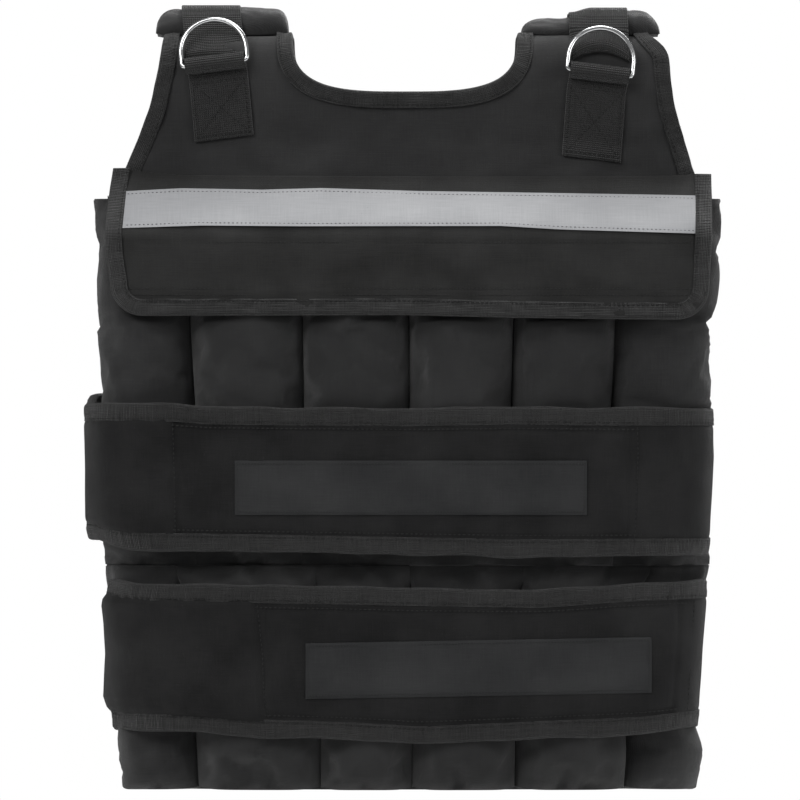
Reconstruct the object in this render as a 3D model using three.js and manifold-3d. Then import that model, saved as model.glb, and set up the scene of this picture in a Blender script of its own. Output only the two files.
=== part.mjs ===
// A weighted training vest with its pockets filled and both waist belts closed, as it hangs from the
// wearer's shoulders. Millimetres, +Z up, the front faces -Y. The origin lies midway between the two
// shoulder straps, at the height of the underside of their crowns.
import * as THREE from "three";
import { mergeVertices } from "three/addons/utils/BufferGeometryUtils.js";
import Module from "manifold-3d";

const wasm = await Module();
wasm.setup();

// Side profile of a panel's outer face, from the crown of the shoulder down to the hem
const BODY_LENGTH = 517;
const CHEST_DEPTH = 98;
const SHOULDER_DEPTH = 68;
const ARCH_HEIGHT = 75;
const ARCH_POWER = 5;
const LEAN_LENGTH = 125;

// Plan of a panel: a superellipse that widens and narrows on the way down, of which the panel covers
// this share
const PLAN_HALF_WIDTH = 215;
const PLAN_POWER = 2.8;
const PLAN_WIDTHS = { crown: 1.28, arch: 1.05, chest: 1.01, waist: 0.945, hem: 0.925 };
const PANEL_SHARE = 0.92;

// Panels: neck, shoulder straps, armholes and hem; shares are of the plan's half width
const PANEL_THICKNESS = 6;
const SHORTEST_ROW = 2;
const NECK_SHARE = 0.3628;
const NECK_DROP = 42;
const NECK_POWER = 3.2;
const ARMHOLE_DROP = 94;
const ARMHOLE_POWER = 1.9;
const HEM_CORNER = 30;
const PANEL_LAP = 15;
const BEYOND_PANEL = 0.985;
const SIDES = {
  left: { sign: -1, strapEdge: 0.7674, armpit: 0.8884 },
  right: { sign: 1, strapEdge: 0.8233, armpit: 0.9163 },
};

// Shoulder pads, lapped over the tops of both panels
const PAD_THICKNESS = 11;
const PAD_LENGTH = 104;
const PAD_INSET = 3;
const PAD_OVERHANG = { left: 3, right: -6 };

// Binding tape, folded over an edge
const BINDING_WIDTH = 10;
const BINDING_TAPE = 1.2;

// Weight pockets: two rows, sewn in columns; the seams are shares of the panel's half width
const POCKET_DEPTH = 26;
const POCKET_SEAM_GAP = 1.6;
const POCKET_SEAM_THICKNESS = 2;
const POCKET_ROUNDING = 4;
const RAMP_SHOULDER = 0.3;
const UPPER_POCKETS = { top: 114, bottom: 362, topRamp: 40, bottomRamp: 26 };
const LOWER_POCKETS = { top: 366, topRamp: 26, bottomRamp: 16 };
const UPPER_SEAMS = [-1, -0.712, -0.352, 0.01, 0.364, 0.705, 1];
const LOWER_SEAMS = [-1, -0.745, -0.315, 0.021, 0.4, 0.778, 1];

// Storm flap over the mouths of the upper pockets, and the reflective tape on it
const FLAP_THICKNESS = 2.6;
const FLAP_TOP = 93;
const FLAP_BOTTOM = 193;
const FLAP_SHARE = 0.95;
const FLAP_CORNER = 22;
const FLAP_RISE = 40;
const FLAP_CLEARANCE = 2.6;
const REFLECTIVE_WIDTH = 25;
const REFLECTIVE_TOP = 110;
const REFLECTIVE_THICKNESS = 0.7;

// Waist belts; the edge tables are shares of the belt's height, across the front from left to right
const BELT_THICKNESS = 6;
const BELT_EDGE_THICKNESS = 3.6;
const BELT_SLOPE = 4;
const BELT_CLEARANCE = 0.8;
const BELT_FRAMES = 30;
const BELT_PLAN_POINTS = 1440;
const BELT_TURN_SHARE = 0.42;
const UPPER_BELT = {
  top: 255,
  height: 100,
  sideSlack: 0.8,
  shift: -0.8,
  backRise: 10,
  edges: [
    { across: -1, top: 0.01, bottom: 0.1 },
    { across: -0.8, top: 0.01, bottom: 0.02 },
    { across: -0.4, top: -0.02, bottom: 0 },
    { across: 0.4, top: -0.02, bottom: -0.02 },
    { across: 1, top: -0.01, bottom: -0.01 },
  ],
};
const LOWER_BELT = {
  top: 376,
  height: 103,
  sideSlack: 0,
  shift: 0,
  backRise: 0,
  edges: [
    { across: -1, top: 0.03, bottom: 0.07 },
    { across: -0.7, top: 0, bottom: 0.03 },
    { across: 0.1, top: -0.04, bottom: -0.03 },
    { across: 0.6, top: 0.01, bottom: 0 },
    { across: 1, top: 0.04, bottom: 0.05 },
  ],
};

// Blank labels sewn to the front of the belts
const LABEL_THICKNESS = 1.2;
const UPPER_LABEL = { centre: 4, width: 239, height: 37, below: 36, slope: 0 };
const LOWER_LABEL = { centre: 50, width: 235, height: 38, below: 35, slope: 0.018 };

// Shoulder webbing, ring keepers and D-rings; the places across are shares of the plan's half width
const WEBBING_WIDTH = 39;
const WEBBING_THICKNESS = 1.6;
const WEBBING_CLIMB = 13;
const KEEPER_WIDTH = 38.4;
const KEEPER_HALF_HEIGHT = 5.9;
const KEEPER_HALF_DEPTH = 3.9;
const KEEPER_WALL = 1.5;
const RING_WIRE = 3.4;
const RING_WIDTH = 48.4;
const RING_SIDE = 9;
const RING_CORNER = 2.6;
const RING_SIDES = 8;
const RING_LEAN = THREE.MathUtils.degToRad(4.5);
const STRAPS = {
  left: { crown: -0.6093, front: -0.5744, frontEnd: 74, keeperAt: -0.60233, bar: 22.7, tilt: 7 },
  right: { crown: 0.6047, front: 0.5884, frontEnd: 86, keeperAt: 0.61628, bar: 28.7, tilt: -7 },
};

// Clearance between pieces that lie on each other, and the step over which a surface's slope is taken
const SEAT = 0.4;
const SLOPE_STEP = 0.5;

const BLACK_NYLON = new THREE.MeshStandardMaterial({ color: 0x1c1c1d, roughness: 0.75, metalness: 0 });
const BELT_NYLON = new THREE.MeshStandardMaterial({ color: 0x19191a, roughness: 0.7, metalness: 0 });
const BINDING_TAPE_CLOTH = new THREE.MeshStandardMaterial({ color: 0x262626, roughness: 0.9, metalness: 0 });
const WEBBING_CLOTH = new THREE.MeshStandardMaterial({ color: 0x161616, roughness: 0.85, metalness: 0 });
const REFLECTIVE = new THREE.MeshStandardMaterial({ color: 0xb4b6ba, roughness: 0.45, metalness: 0.1 });
const LABEL_CLOTH = new THREE.MeshStandardMaterial({ color: 0x202123, roughness: 0.8, metalness: 0 });
const RING_STEEL = new THREE.MeshStandardMaterial({ color: 0xd8d9dc, roughness: 0.18, metalness: 1 });

const vest = new THREE.Group();
const { lerp, clamp, smoothstep, mapLinear } = THREE.MathUtils;
const FRONT = -1;
const BACK = 1;

// Value of a table's column where its key column holds a position, straight from row to row
function tableAt(rows, key, position, column) {
  const next = rows.findIndex((row) => row[key] >= position);
  if (next <= 0) return (next === 0 ? rows[0] : rows.at(-1))[column];
  const [before, after] = [rows[next - 1], rows[next]];
  return mapLinear(position, before[key], after[key], before[column], after[column]);
}

// Points of the side profile with the girth, which is the length along it from the crown
function sideProfile() {
  const points = [];
  const steps = 120;
  for (let i = 0; i <= steps; i++) {
    const angle = (Math.PI / 2) * (1 - i / steps);
    const depth = SHOULDER_DEPTH * Math.max(Math.cos(angle), 0) ** (2 / ARCH_POWER);
    points.push({ depth: i ? depth : 0, z: ARCH_HEIGHT * (Math.sin(angle) ** (2 / ARCH_POWER) - 1) });
  }
  points.push({ depth: CHEST_DEPTH, z: -ARCH_HEIGHT - LEAN_LENGTH }, { depth: CHEST_DEPTH, z: -BODY_LENGTH });
  let girth = 0;
  return points.map((point, i) => {
    if (i) girth += Math.hypot(point.depth - points[i - 1].depth, point.z - points[i - 1].z);
    return { ...point, girth };
  });
}

const PROFILE = sideProfile();

function profileAt(girth) {
  const next = clamp(PROFILE.findIndex((point) => point.girth >= girth), 1, PROFILE.length - 1);
  const after = girth > PROFILE.at(-1).girth ? PROFILE.at(-1) : PROFILE[next];
  const before = girth > PROFILE.at(-1).girth ? PROFILE.at(-2) : PROFILE[next - 1];
  const t = (girth - before.girth) / (after.girth - before.girth);
  return { depth: lerp(before.depth, after.depth, t), z: lerp(before.z, after.z, t) };
}

function girthAt(z) {
  const next = PROFILE.findIndex((point) => point.z <= z);
  if (next < 0) return PROFILE.at(-1).girth + PROFILE.at(-1).z - z;
  if (next === 0) return 0;
  const [before, after] = [PROFILE[next - 1], PROFILE[next]];
  return lerp(before.girth, after.girth, (z - before.z) / (after.z - before.z));
}

const PLAN_SECTIONS = [
  { z: 0, width: PLAN_WIDTHS.crown },
  { z: -ARCH_HEIGHT, width: PLAN_WIDTHS.arch },
  { z: -ARCH_HEIGHT - LEAN_LENGTH, width: PLAN_WIDTHS.chest },
  { z: -UPPER_POCKETS.bottom, width: PLAN_WIDTHS.waist },
  { z: -BODY_LENGTH, width: PLAN_WIDTHS.hem },
].reverse();

const planHalfWidth = (z) => PLAN_HALF_WIDTH * tableAt(PLAN_SECTIONS, "z", z, "width");
const panelEdge = (z) => PANEL_SHARE * planHalfWidth(z);

// A point of the vest's shell, the outer face of the panels. Girth is negative in front and positive behind.
function shell(x, girth) {
  const { depth, z } = profileAt(Math.abs(girth));
  const share = Math.min(Math.abs(x) / planHalfWidth(z), 0.99);
  return new THREE.Vector3(x, Math.sign(girth) * depth * (1 - share ** PLAN_POWER) ** (1 / PLAN_POWER), z);
}

function shellNormal(x, girth) {
  const across = shell(x + SLOPE_STEP, girth).sub(shell(x - SLOPE_STEP, girth));
  const along = shell(x, girth + SLOPE_STEP).sub(shell(x, girth - SLOPE_STEP));
  return across.cross(along).normalize();
}

const offShell = (x, girth, height) => shell(x, girth).addScaledVector(shellNormal(x, girth), height);

// Evenly spaced stops from 0 to 1, drawn towards both ends by a share
function stops(count, towardsEnds = 0) {
  return Array.from({ length: count + 1 }, (_, i) => {
    const t = i / count;
    return lerp(t, 0.5 - 0.5 * Math.cos(Math.PI * t), towardsEnds);
  });
}

// An indexed geometry, turned so that its faces point out
function closedGeometry(points, faces) {
  const volume = faces.reduce((sum, [a, b, c]) => {
    return sum + points[a].dot(new THREE.Vector3().crossVectors(points[b], points[c]));
  }, 0);
  const geometry = new THREE.BufferGeometry();
  geometry.setAttribute("position", new THREE.Float32BufferAttribute(points.flatMap((p) => p.toArray()), 3));
  geometry.setIndex(faces.flatMap(([a, b, c]) => (volume < 0 ? [a, c, b] : [a, b, c])));
  return geometry;
}

// A closed wall between two sheets: at(u, v, height) gives a point, low and high give the two heights
function wall({ at, low, high, us, vs }) {
  const [columns, rows] = [us.length, vs.length];
  const sheets = [high, low].map((height) => vs.flatMap((v) => us.map((u) => at(u, v, height(u, v)))));
  const index = (sheet, i, j) => sheet * columns * rows + j * columns + i;
  const faces = [];
  const quad = (a, b, c, d) => faces.push([a, b, c], [a, c, d]);
  for (let j = 0; j < rows - 1; j++) {
    for (let i = 0; i < columns - 1; i++) {
      quad(index(0, i, j), index(0, i + 1, j), index(0, i + 1, j + 1), index(0, i, j + 1));
      quad(index(1, i, j), index(1, i, j + 1), index(1, i + 1, j + 1), index(1, i + 1, j));
    }
    quad(index(0, 0, j), index(0, 0, j + 1), index(1, 0, j + 1), index(1, 0, j));
    const last = columns - 1;
    quad(index(0, last, j + 1), index(0, last, j), index(1, last, j), index(1, last, j + 1));
  }
  for (let i = 0; i < columns - 1; i++) {
    quad(index(0, i + 1, 0), index(0, i, 0), index(1, i, 0), index(1, i + 1, 0));
    const last = rows - 1;
    quad(index(0, i, last), index(0, i + 1, last), index(1, i + 1, last), index(1, i, last));
  }
  return closedGeometry(sheets.flat(), faces);
}

// A body through rings of points that share one section; its ends are capped unless the rings close
function tube(rings, section, closed) {
  const [count, sides] = [rings.length, section.length];
  const faces = [];
  for (let i = 0; i < (closed ? count : count - 1); i++) {
    for (let j = 0; j < sides; j++) {
      const [here, next] = [i * sides, ((i + 1) % count) * sides];
      const k = (j + 1) % sides;
      faces.push([here + j, here + k, next + k], [here + j, next + k, next + j]);
    }
  }
  if (!closed) {
    const outline = section.map(([a, b]) => new THREE.Vector2(a, b));
    const last = (count - 1) * sides;
    for (const [a, b, c] of THREE.ShapeUtils.triangulateShape(outline, [])) {
      faces.push([a, c, b], [last + a, last + b, last + c]);
    }
  }
  return closedGeometry(rings.flat(), faces);
}

function solidOf(geometry) {
  const bare = new THREE.BufferGeometry();
  bare.setAttribute("position", geometry.getAttribute("position"));
  bare.setIndex(geometry.getIndex());
  const merged = mergeVertices(bare, 1e-4);
  return new wasm.Manifold(
    new wasm.Mesh({
      numProp: 3,
      vertProperties: merged.attributes.position.array,
      triVerts: new Uint32Array(merged.index.array),
    }),
  );
}

function geometryOf(solid) {
  const { vertProperties, triVerts } = solid.getMesh();
  const geometry = new THREE.BufferGeometry();
  geometry.setAttribute("position", new THREE.BufferAttribute(vertProperties, 3));
  geometry.setIndex(new THREE.BufferAttribute(triVerts, 1));
  return geometry;
}

function add(name, geometry, material, parent = vest) {
  const mesh = new THREE.Mesh(geometry, material);
  mesh.name = name;
  parent.add(mesh);
  return mesh;
}

// Height of the hem at a share of the panel's half width, which its round corners lift
function hemZ(share) {
  const start = 1 - HEM_CORNER / panelEdge(-BODY_LENGTH);
  const t = clamp((Math.abs(share) - start) / (1 - start), 0, 1);
  return -BODY_LENGTH + HEM_CORNER * (1 - Math.sqrt(1 - t * t));
}

const neckHalfWidth = NECK_SHARE * PLAN_HALF_WIDTH;
const panelTopGirth = PAD_LENGTH / 2 - PANEL_LAP;
const bindingTopGirth = PAD_LENGTH / 2 + SEAT;
const archEndGirth = girthAt(-ARCH_HEIGHT);
const leanEndGirth = girthAt(-ARCH_HEIGHT - LEAN_LENGTH);
const hemGirth = girthAt(-BODY_LENGTH);

// Girths of a panel's rows: close together over the arch, a few down the straight body
const PANEL_ROWS = [
  ...stops(10).map((t) => lerp(panelTopGirth, archEndGirth, t)),
  (archEndGirth + leanEndGirth) / 2,
  leanEndGirth,
  girthAt(-UPPER_POCKETS.bottom),
  hemGirth - 2 * HEM_CORNER,
  hemGirth,
];

// The rows of a sheet that lies on a panel between two girths
function rowsBetween(from, to) {
  return [from, ...PANEL_ROWS.filter((girth) => girth > from + SHORTEST_ROW && girth < to - SHORTEST_ROW), to];
}

// The neck's edge on one side as [x, girth] spots, from the crown down to its flat bottom
function neckEdge() {
  const roundFrom = NECK_DROP / 2;
  const neckX = (drop) => neckHalfWidth * (1 - (drop / NECK_DROP) ** NECK_POWER) ** (1 / NECK_POWER);
  const straight = [0, ...PANEL_ROWS.filter((girth) => girth < girthAt(-roundFrom))];
  const round = stops(6).slice(0, -1).map((t) => {
    const fromAngle = Math.asin((roundFrom / NECK_DROP) ** (NECK_POWER / 2));
    return NECK_DROP * Math.sin(lerp(fromAngle, Math.PI / 2, t)) ** (2 / NECK_POWER);
  });
  return [
    ...straight.map((girth) => [neckX(-profileAt(girth).z), girth]),
    ...round.map((drop) => [neckX(drop), girthAt(-drop)]),
  ];
}

const NECK_EDGE = neckEdge();

// An armhole's edge as [x, girth] spots, from the crown down to the armpit
function armholeEdge({ sign, strapEdge, armpit }) {
  return rowsBetween(0, girthAt(-ARMHOLE_DROP)).map((girth) => {
    const share = -profileAt(girth).z / ARMHOLE_DROP;
    return [sign * PLAN_HALF_WIDTH * lerp(strapEdge, armpit, share ** ARMHOLE_POWER), girth];
  });
}

// The stretch of an edge between two girths, with a spot at each end
function edgeBetween(edge, from, to) {
  const at = (girth) => {
    const next = clamp(edge.findIndex((spot) => spot[1] >= girth), 1, edge.length - 1);
    const [[x0, girth0], [x1, girth1]] = [edge[next - 1], edge[next]];
    return [mapLinear(girth, girth0, girth1, x0, x1), girth];
  };
  const between = edge.filter(([, girth]) => girth > from + SHORTEST_ROW && girth < to - SHORTEST_ROW);
  return [at(from), ...between, at(to)];
}

// A panel before its neck and armholes are cut
function panelSlab(side) {
  return wall({
    us: stops(14, 0.6),
    vs: PANEL_ROWS,
    at: (u, row, height) => {
      const across = lerp(-1, 1, u);
      const girth = row === hemGirth ? girthAt(hemZ(across)) : row;
      return offShell(across * panelEdge(profileAt(girth).z), side * girth, height);
    },
    low: () => -PANEL_THICKNESS,
    high: () => 0,
  });
}

// The space to cut from a panel, where xAt gives the sides of each row at an edge's spots
function cutOut(side, us, edge, xAt) {
  return wall({
    us,
    vs: edge,
    at: (u, spot, height) => offShell(xAt(u, spot), side * spot[1], height),
    low: () => -2 * PANEL_THICKNESS,
    high: () => PANEL_THICKNESS,
  });
}

function panel(side) {
  const neck = cutOut(side, [-1, 0, 1], NECK_EDGE, (u, [x]) => u * x);
  const armholes = Object.values(SIDES).map((edges) =>
    cutOut(side, stops(4), armholeEdge(edges), (u, [x, girth]) => {
      const beyond = BEYOND_PANEL * planHalfWidth(profileAt(girth).z);
      return lerp(x, edges.sign * beyond, u);
    }),
  );
  const slab = solidOf(panelSlab(side));
  return geometryOf([neck, ...armholes].reduce((rest, cut) => rest.subtract(solidOf(cut)), slab));
}

// Section of a tape folded over an edge, as [inwards, height] points, for a sheet between two heights
function foldedSection(low, high, reach = [BINDING_WIDTH]) {
  const [under, over] = [low - SEAT, high + SEAT];
  const back = [...reach].reverse();
  return [
    [-SEAT - BINDING_TAPE, under - BINDING_TAPE],
    ...reach.map((inwards) => [inwards, under - BINDING_TAPE]),
    ...back.map((inwards) => [inwards, under]),
    [-SEAT, under],
    [-SEAT, over],
    ...reach.map((inwards) => [inwards, over]),
    ...back.map((inwards) => [inwards, over + BINDING_TAPE]),
    [-SEAT - BINDING_TAPE, over + BINDING_TAPE],
  ];
}

// A tape folded over a sheet's edge, with level ends. The [x, down] spots run with the sheet on their
// left, and surface gives a point of the sheet at a height.
function edgeTape(spots, surface, section) {
  const last = spots.length - 1;
  const rings = spots.map(([x, down], i) => {
    const [x0, down0] = spots[Math.max(i - 1, 0)];
    const [x1, down1] = spots[Math.min(i + 1, last)];
    const inwards = new THREE.Vector2(down1 - down0, x0 - x1).normalize();
    if (i === 0 || i === last) inwards.set(Math.sign(inwards.x), 0);
    return section.map(([a, height]) => surface(x + a * inwards.x, down + a * inwards.y, height));
  });
  return tube(rings, section, false);
}

const panelSurface = (side) => (x, girth, height) => offShell(x, side * girth, height);

function neckBinding(side) {
  const right = edgeBetween(NECK_EDGE, bindingTopGirth, NECK_EDGE.at(-1)[1]);
  const left = right.map(([x, girth]) => [-x, girth]).reverse();
  return edgeTape([...right, ...left], panelSurface(side), foldedSection(-PANEL_THICKNESS - SEAT, 0));
}

function armholeBinding(edges, side) {
  const spots = edgeBetween(armholeEdge(edges), bindingTopGirth, girthAt(-FLAP_TOP) - SEAT);
  const section = foldedSection(-PANEL_THICKNESS - 2 * SEAT, 0, [BINDING_WIDTH / 2, BINDING_WIDTH]);
  return edgeTape(edges.sign < 0 ? spots : spots.reverse(), panelSurface(side), section);
}

// A padded strap over the shoulder, from one panel's top to the other's
function shoulderPad({ sign, strapEdge }, overhang) {
  const inner = neckHalfWidth + PAD_INSET;
  const outer = strapEdge * PLAN_HALF_WIDTH + overhang;
  return wall({
    us: [0, 0.04, 0.14, 0.5, 0.86, 0.96, 1],
    vs: stops(16, -0.2),
    at: (u, v, height) => offShell(sign * lerp(inner, outer, u), lerp(-0.5, 0.5, v) * PAD_LENGTH, height),
    low: () => SEAT,
    high: (u, v) => {
      const sides = (1 - Math.abs(2 * u - 1) ** 5) ** (1 / 5);
      const ends = (1 - Math.abs(2 * v - 1) ** 9) ** (1 / 9);
      return SEAT + PAD_THICKNESS * lerp(0.35, 1, Math.min(sides, ends));
    },
  });
}

// How far a pocket stands off the panel, at shares across and down it
function pocketHeight(across, fromTop, fromBottom, { topRamp, bottomRamp }) {
  const sides = (1 - Math.abs(2 * across - 1) ** POCKET_ROUNDING) ** (1 / POCKET_ROUNDING);
  const ramp = (distance, length) => (1 - (1 - clamp(distance / length, 0, 1)) ** 2) ** 0.6;
  const filled = sides * ramp(fromTop, topRamp) * ramp(fromBottom, bottomRamp);
  return lerp(POCKET_SEAM_THICKNESS, POCKET_DEPTH, filled);
}

// A pocket's rows, as shares of its height: its ramps, and the panel's bend where it passes that
function pocketRows({ top, topRamp, bottomRamp }, bottom) {
  const bend = ARCH_HEIGHT + LEAN_LENGTH;
  const downs = [top, top + topRamp * RAMP_SHOULDER, top + topRamp];
  if (bend > top + topRamp && bend < bottom - bottomRamp) downs.push(bend);
  downs.push(bottom - bottomRamp, bottom - bottomRamp * RAMP_SHOULDER, bottom);
  return downs.map((down) => (down - top) / (bottom - top));
}

function pocket(side, seams, i, row, bottomAt) {
  const zAt = (u, v) => lerp(-row.top, bottomAt(lerp(seams[i], seams[i + 1], u)), v);
  return wall({
    us: stops(6, 0.7),
    vs: pocketRows(row, -bottomAt(0)),
    at: (u, v, height) => {
      const z = zAt(u, v);
      const gap = POCKET_SEAM_GAP / 2;
      const [from, to] = [seams[i] * panelEdge(z) + gap, seams[i + 1] * panelEdge(z) - gap];
      return offShell(lerp(from, to, u), side * girthAt(z), height);
    },
    low: () => SEAT,
    high: (u, v) => pocketHeight(u, -row.top - zAt(u, v), zAt(u, v) - zAt(u, 1), row),
  });
}

const REFLECTIVE_ROWS = stops(3).map((t) => REFLECTIVE_TOP + t * REFLECTIVE_WIDTH);
const FLAP_ROWS = [
  FLAP_TOP,
  (FLAP_TOP + REFLECTIVE_TOP) / 2,
  ...REFLECTIVE_ROWS,
  FLAP_BOTTOM - 2 * FLAP_CORNER,
  FLAP_BOTTOM,
];
const flapEdge = (down) => FLAP_SHARE * panelEdge(-down);
const flapCornerFrom = 1 - FLAP_CORNER / flapEdge(FLAP_BOTTOM);
const insideBinding = 1 - BINDING_WIDTH / flapEdge(FLAP_BOTTOM);
const FLAP_COLUMNS = [-1, ...stops(10, 0.5).map((t) => lerp(-insideBinding, insideBinding, t)), 1];

// A point of the storm flap's inner face, which climbs from its seam over the pockets, or above it
function flapPoint(side, x, down, height) {
  const climb = smoothstep((down - FLAP_TOP) / FLAP_RISE, 0, 1);
  const lift = lerp(3 * SEAT + BINDING_TAPE, POCKET_DEPTH + FLAP_CLEARANCE, climb);
  return offShell(x, side * girthAt(-down), lift + height);
}

function flapBottom(share) {
  const t = clamp((Math.abs(share) - flapCornerFrom) / (1 - flapCornerFrom), 0, 1);
  return FLAP_BOTTOM - FLAP_CORNER * (1 - Math.sqrt(1 - t * t));
}

function flap(side) {
  return wall({
    us: FLAP_COLUMNS,
    vs: FLAP_ROWS,
    at: (share, row, height) => {
      const down = row === FLAP_BOTTOM ? flapBottom(share) : row;
      return flapPoint(side, share * flapEdge(down), down, height);
    },
    low: () => 0,
    high: () => FLAP_THICKNESS,
  });
}

// The tape round the flap's two sides and its lower edge
function flapBinding(side) {
  const half = [
    ...FLAP_ROWS.slice(0, -1).map((down) => [1, down]),
    ...stops(4).map((t) => {
      const share = lerp(flapCornerFrom, 1, Math.cos((t * Math.PI) / 2));
      return [share, flapBottom(share)];
    }),
  ];
  const bottom = FLAP_COLUMNS.filter((share) => Math.abs(share) < flapCornerFrom);
  const shares = [
    ...half.map(([share, down]) => [-share, down]),
    ...bottom.map((share) => [share, FLAP_BOTTOM]),
    ...half.reverse(),
  ];
  const spots = shares.map(([share, down]) => [share * flapEdge(down), down]);
  const surface = (x, down, height) => flapPoint(side, x, down, height);
  return edgeTape(spots, surface, foldedSection(-SEAT, FLAP_THICKNESS + SEAT));
}

function reflectiveTape(side) {
  const end = 1 - (BINDING_WIDTH + SEAT) / flapEdge(REFLECTIVE_TOP);
  return wall({
    us: [-end, ...FLAP_COLUMNS.filter((share) => Math.abs(share) < end), end],
    vs: REFLECTIVE_ROWS,
    at: (share, down, height) => flapPoint(side, share * flapEdge(down), down, height),
    low: () => FLAP_THICKNESS + SEAT,
    high: () => FLAP_THICKNESS + SEAT + REFLECTIVE_THICKNESS,
  });
}

// Plan of a belt: the roundest superellipse that clears the filled pockets behind it
function beltPlan(belt, seams, row) {
  const envelope = [];
  for (const t of [-belt.backRise / belt.height - BINDING_TAPE / belt.height, 0, 0.5, 1]) {
    const z = -belt.top - t * belt.height;
    for (let i = 0; i < seams.length - 1; i++) {
      for (const u of stops(12)) {
        const x = lerp(seams[i], seams[i + 1], u) * panelEdge(z);
        envelope.push(offShell(x, -girthAt(z), pocketHeight(u, row.topRamp, row.bottomRamp, row)));
      }
    }
  }
  const lining = BELT_CLEARANCE + BINDING_TAPE + SEAT;
  const reach = { x: Math.max(...envelope.map((p) => p.x)), y: Math.max(...envelope.map((p) => -p.y)) };
  const inner = { x: reach.x + belt.sideSlack + BELT_CLEARANCE, y: reach.y + BELT_CLEARANCE };
  const clears = (power) =>
    envelope.every(({ x, y }) => {
      const share = Math.abs(x - belt.shift) / inner.x;
      return share ** power + Math.abs(y / inner.y) ** power <= 1;
    });
  let power = PLAN_POWER;
  while (power < 12 && !clears(power)) power += 0.1;
  return { halfWidth: reach.x + belt.sideSlack + lining, halfDepth: reach.y + lining, power };
}

// Frames round a belt's plan, closer together where it turns
function beltFrames({ halfWidth, halfDepth, power }, count) {
  const at = (angle) => {
    const [c, s] = [Math.cos(angle), Math.sin(angle)];
    const x = halfWidth * Math.sign(c) * Math.abs(c) ** (2 / power);
    return new THREE.Vector3(x, halfDepth * Math.sign(s) * Math.abs(s) ** (2 / power), 0);
  };
  const fine = Array.from({ length: BELT_PLAN_POINTS }, (_, i) => at((i * 2 * Math.PI) / BELT_PLAN_POINTS));
  const normals = fine.map((_, i) => {
    const along = fine[(i + 1) % fine.length].clone().sub(fine.at(i - 1));
    return new THREE.Vector3(along.y, -along.x, 0).normalize();
  });
  let total = 0;
  const reach = fine.map((point, i) => {
    total += point.distanceTo(fine.at(i - 1)) + BELT_TURN_SHARE * halfWidth * normals[i].angleTo(normals.at(i - 1));
    return total;
  });
  return Array.from({ length: count }, (_, k) => {
    const i = reach.findIndex((length) => length >= (total * (k + 0.5)) / count);
    return { origin: fine[i], normal: normals[i] };
  });
}

// Heights of a belt's two edges where it passes a point; a slack side rises towards the back
function beltEdges(belt, { halfWidth, halfDepth }, { x, y }) {
  const across = x / halfWidth;
  const behind = smoothstep(y / halfDepth, -0.4, 0.8);
  const rise = belt.backRise * behind * (0.5 - 0.5 * across);
  const front = (column) => (1 - behind) * tableAt(belt.edges, "across", across, column) * belt.height;
  return { top: front("top") + rise - belt.top, bottom: front("bottom") + rise - belt.top - belt.height };
}

// A section carried round a belt, whose points are [edge, inwards from that edge, outwards]
function beltLoop(belt, plan, section) {
  const rings = beltFrames(plan, BELT_FRAMES).map(({ origin, normal }) => {
    const edges = beltEdges(belt, plan, origin);
    return section.map(([edge, inwards, out]) => {
      const { x, y } = origin.clone().addScaledVector(normal, out);
      return new THREE.Vector3(x + belt.shift, y, edge === "top" ? edges.top - inwards : edges.bottom + inwards);
    });
  });
  return tube(rings, section, true);
}

function beltBody(belt, plan) {
  const rim = BINDING_TAPE + SEAT;
  const padding = rim + BINDING_WIDTH + SEAT;
  const half = [
    [rim, 0],
    [rim, BELT_EDGE_THICKNESS],
    [padding, BELT_EDGE_THICKNESS],
    [padding + BELT_SLOPE, BELT_THICKNESS],
  ];
  const bottom = half.map((point) => ["bottom", ...point]);
  const top = half.map((point) => ["top", ...point]).reverse();
  return beltLoop(belt, plan, [...bottom, ...top]);
}

function beltBinding(belt, plan, edge) {
  const folded = foldedSection(0, BELT_EDGE_THICKNESS);
  const section = folded.map(([inwards, out]) => [edge, inwards + SEAT + BINDING_TAPE, out]);
  return beltLoop(belt, plan, section);
}

// A blank label sewn to a belt's outer face
function beltLabel(belt, plan, label) {
  const outer = { halfWidth: plan.halfWidth + BELT_THICKNESS, halfDepth: plan.halfDepth + BELT_THICKNESS };
  const yAt = (x) => -outer.halfDepth * (1 - Math.abs(x / outer.halfWidth) ** plan.power) ** (1 / plan.power);
  return wall({
    us: stops(12),
    vs: [0, 1],
    at: (u, v, height) => {
      const x = label.centre + lerp(-0.5, 0.5, u) * label.width;
      const slope = (yAt(x + SLOPE_STEP) - yAt(x - SLOPE_STEP)) / (2 * SLOPE_STEP);
      const normal = new THREE.Vector3(slope, -1, 0).normalize();
      const z = -belt.top - label.below - v * label.height + label.slope * (x - label.centre);
      return new THREE.Vector3(x + belt.shift, yAt(x), z).addScaledVector(normal, height);
    },
    low: () => SEAT,
    high: () => SEAT + LABEL_THICKNESS,
  });
}

// The webbing over a shoulder, from its sewn front end over the pad to the back
function shoulderWebbing({ crown, front, frontEnd, tilt }) {
  const padEnd = PAD_LENGTH / 2;
  const end = girthAt(-frontEnd);
  const landing = padEnd + WEBBING_CLIMB;
  const half = [...stops(12).slice(1, -1).map((t) => t * landing), ...rowsBetween(landing, end)];
  return wall({
    us: [-0.5, 0, 0.5],
    vs: [...half.map((girth) => -girth).reverse(), 0, ...half],
    at: (u, row, height) => {
      const across = u * WEBBING_WIDTH;
      const turned = smoothstep(-row, padEnd, end);
      const climb = 1 - smoothstep(Math.abs(row), padEnd, landing);
      const girth = row + turned * across * Math.tan(THREE.MathUtils.degToRad(tilt));
      const x = lerp(crown, front, turned) * PLAN_HALF_WIDTH + across;
      return offShell(x, girth, SEAT + climb * (PAD_THICKNESS + SEAT) + height);
    },
    low: () => 0,
    high: () => WEBBING_THICKNESS,
  });
}

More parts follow.
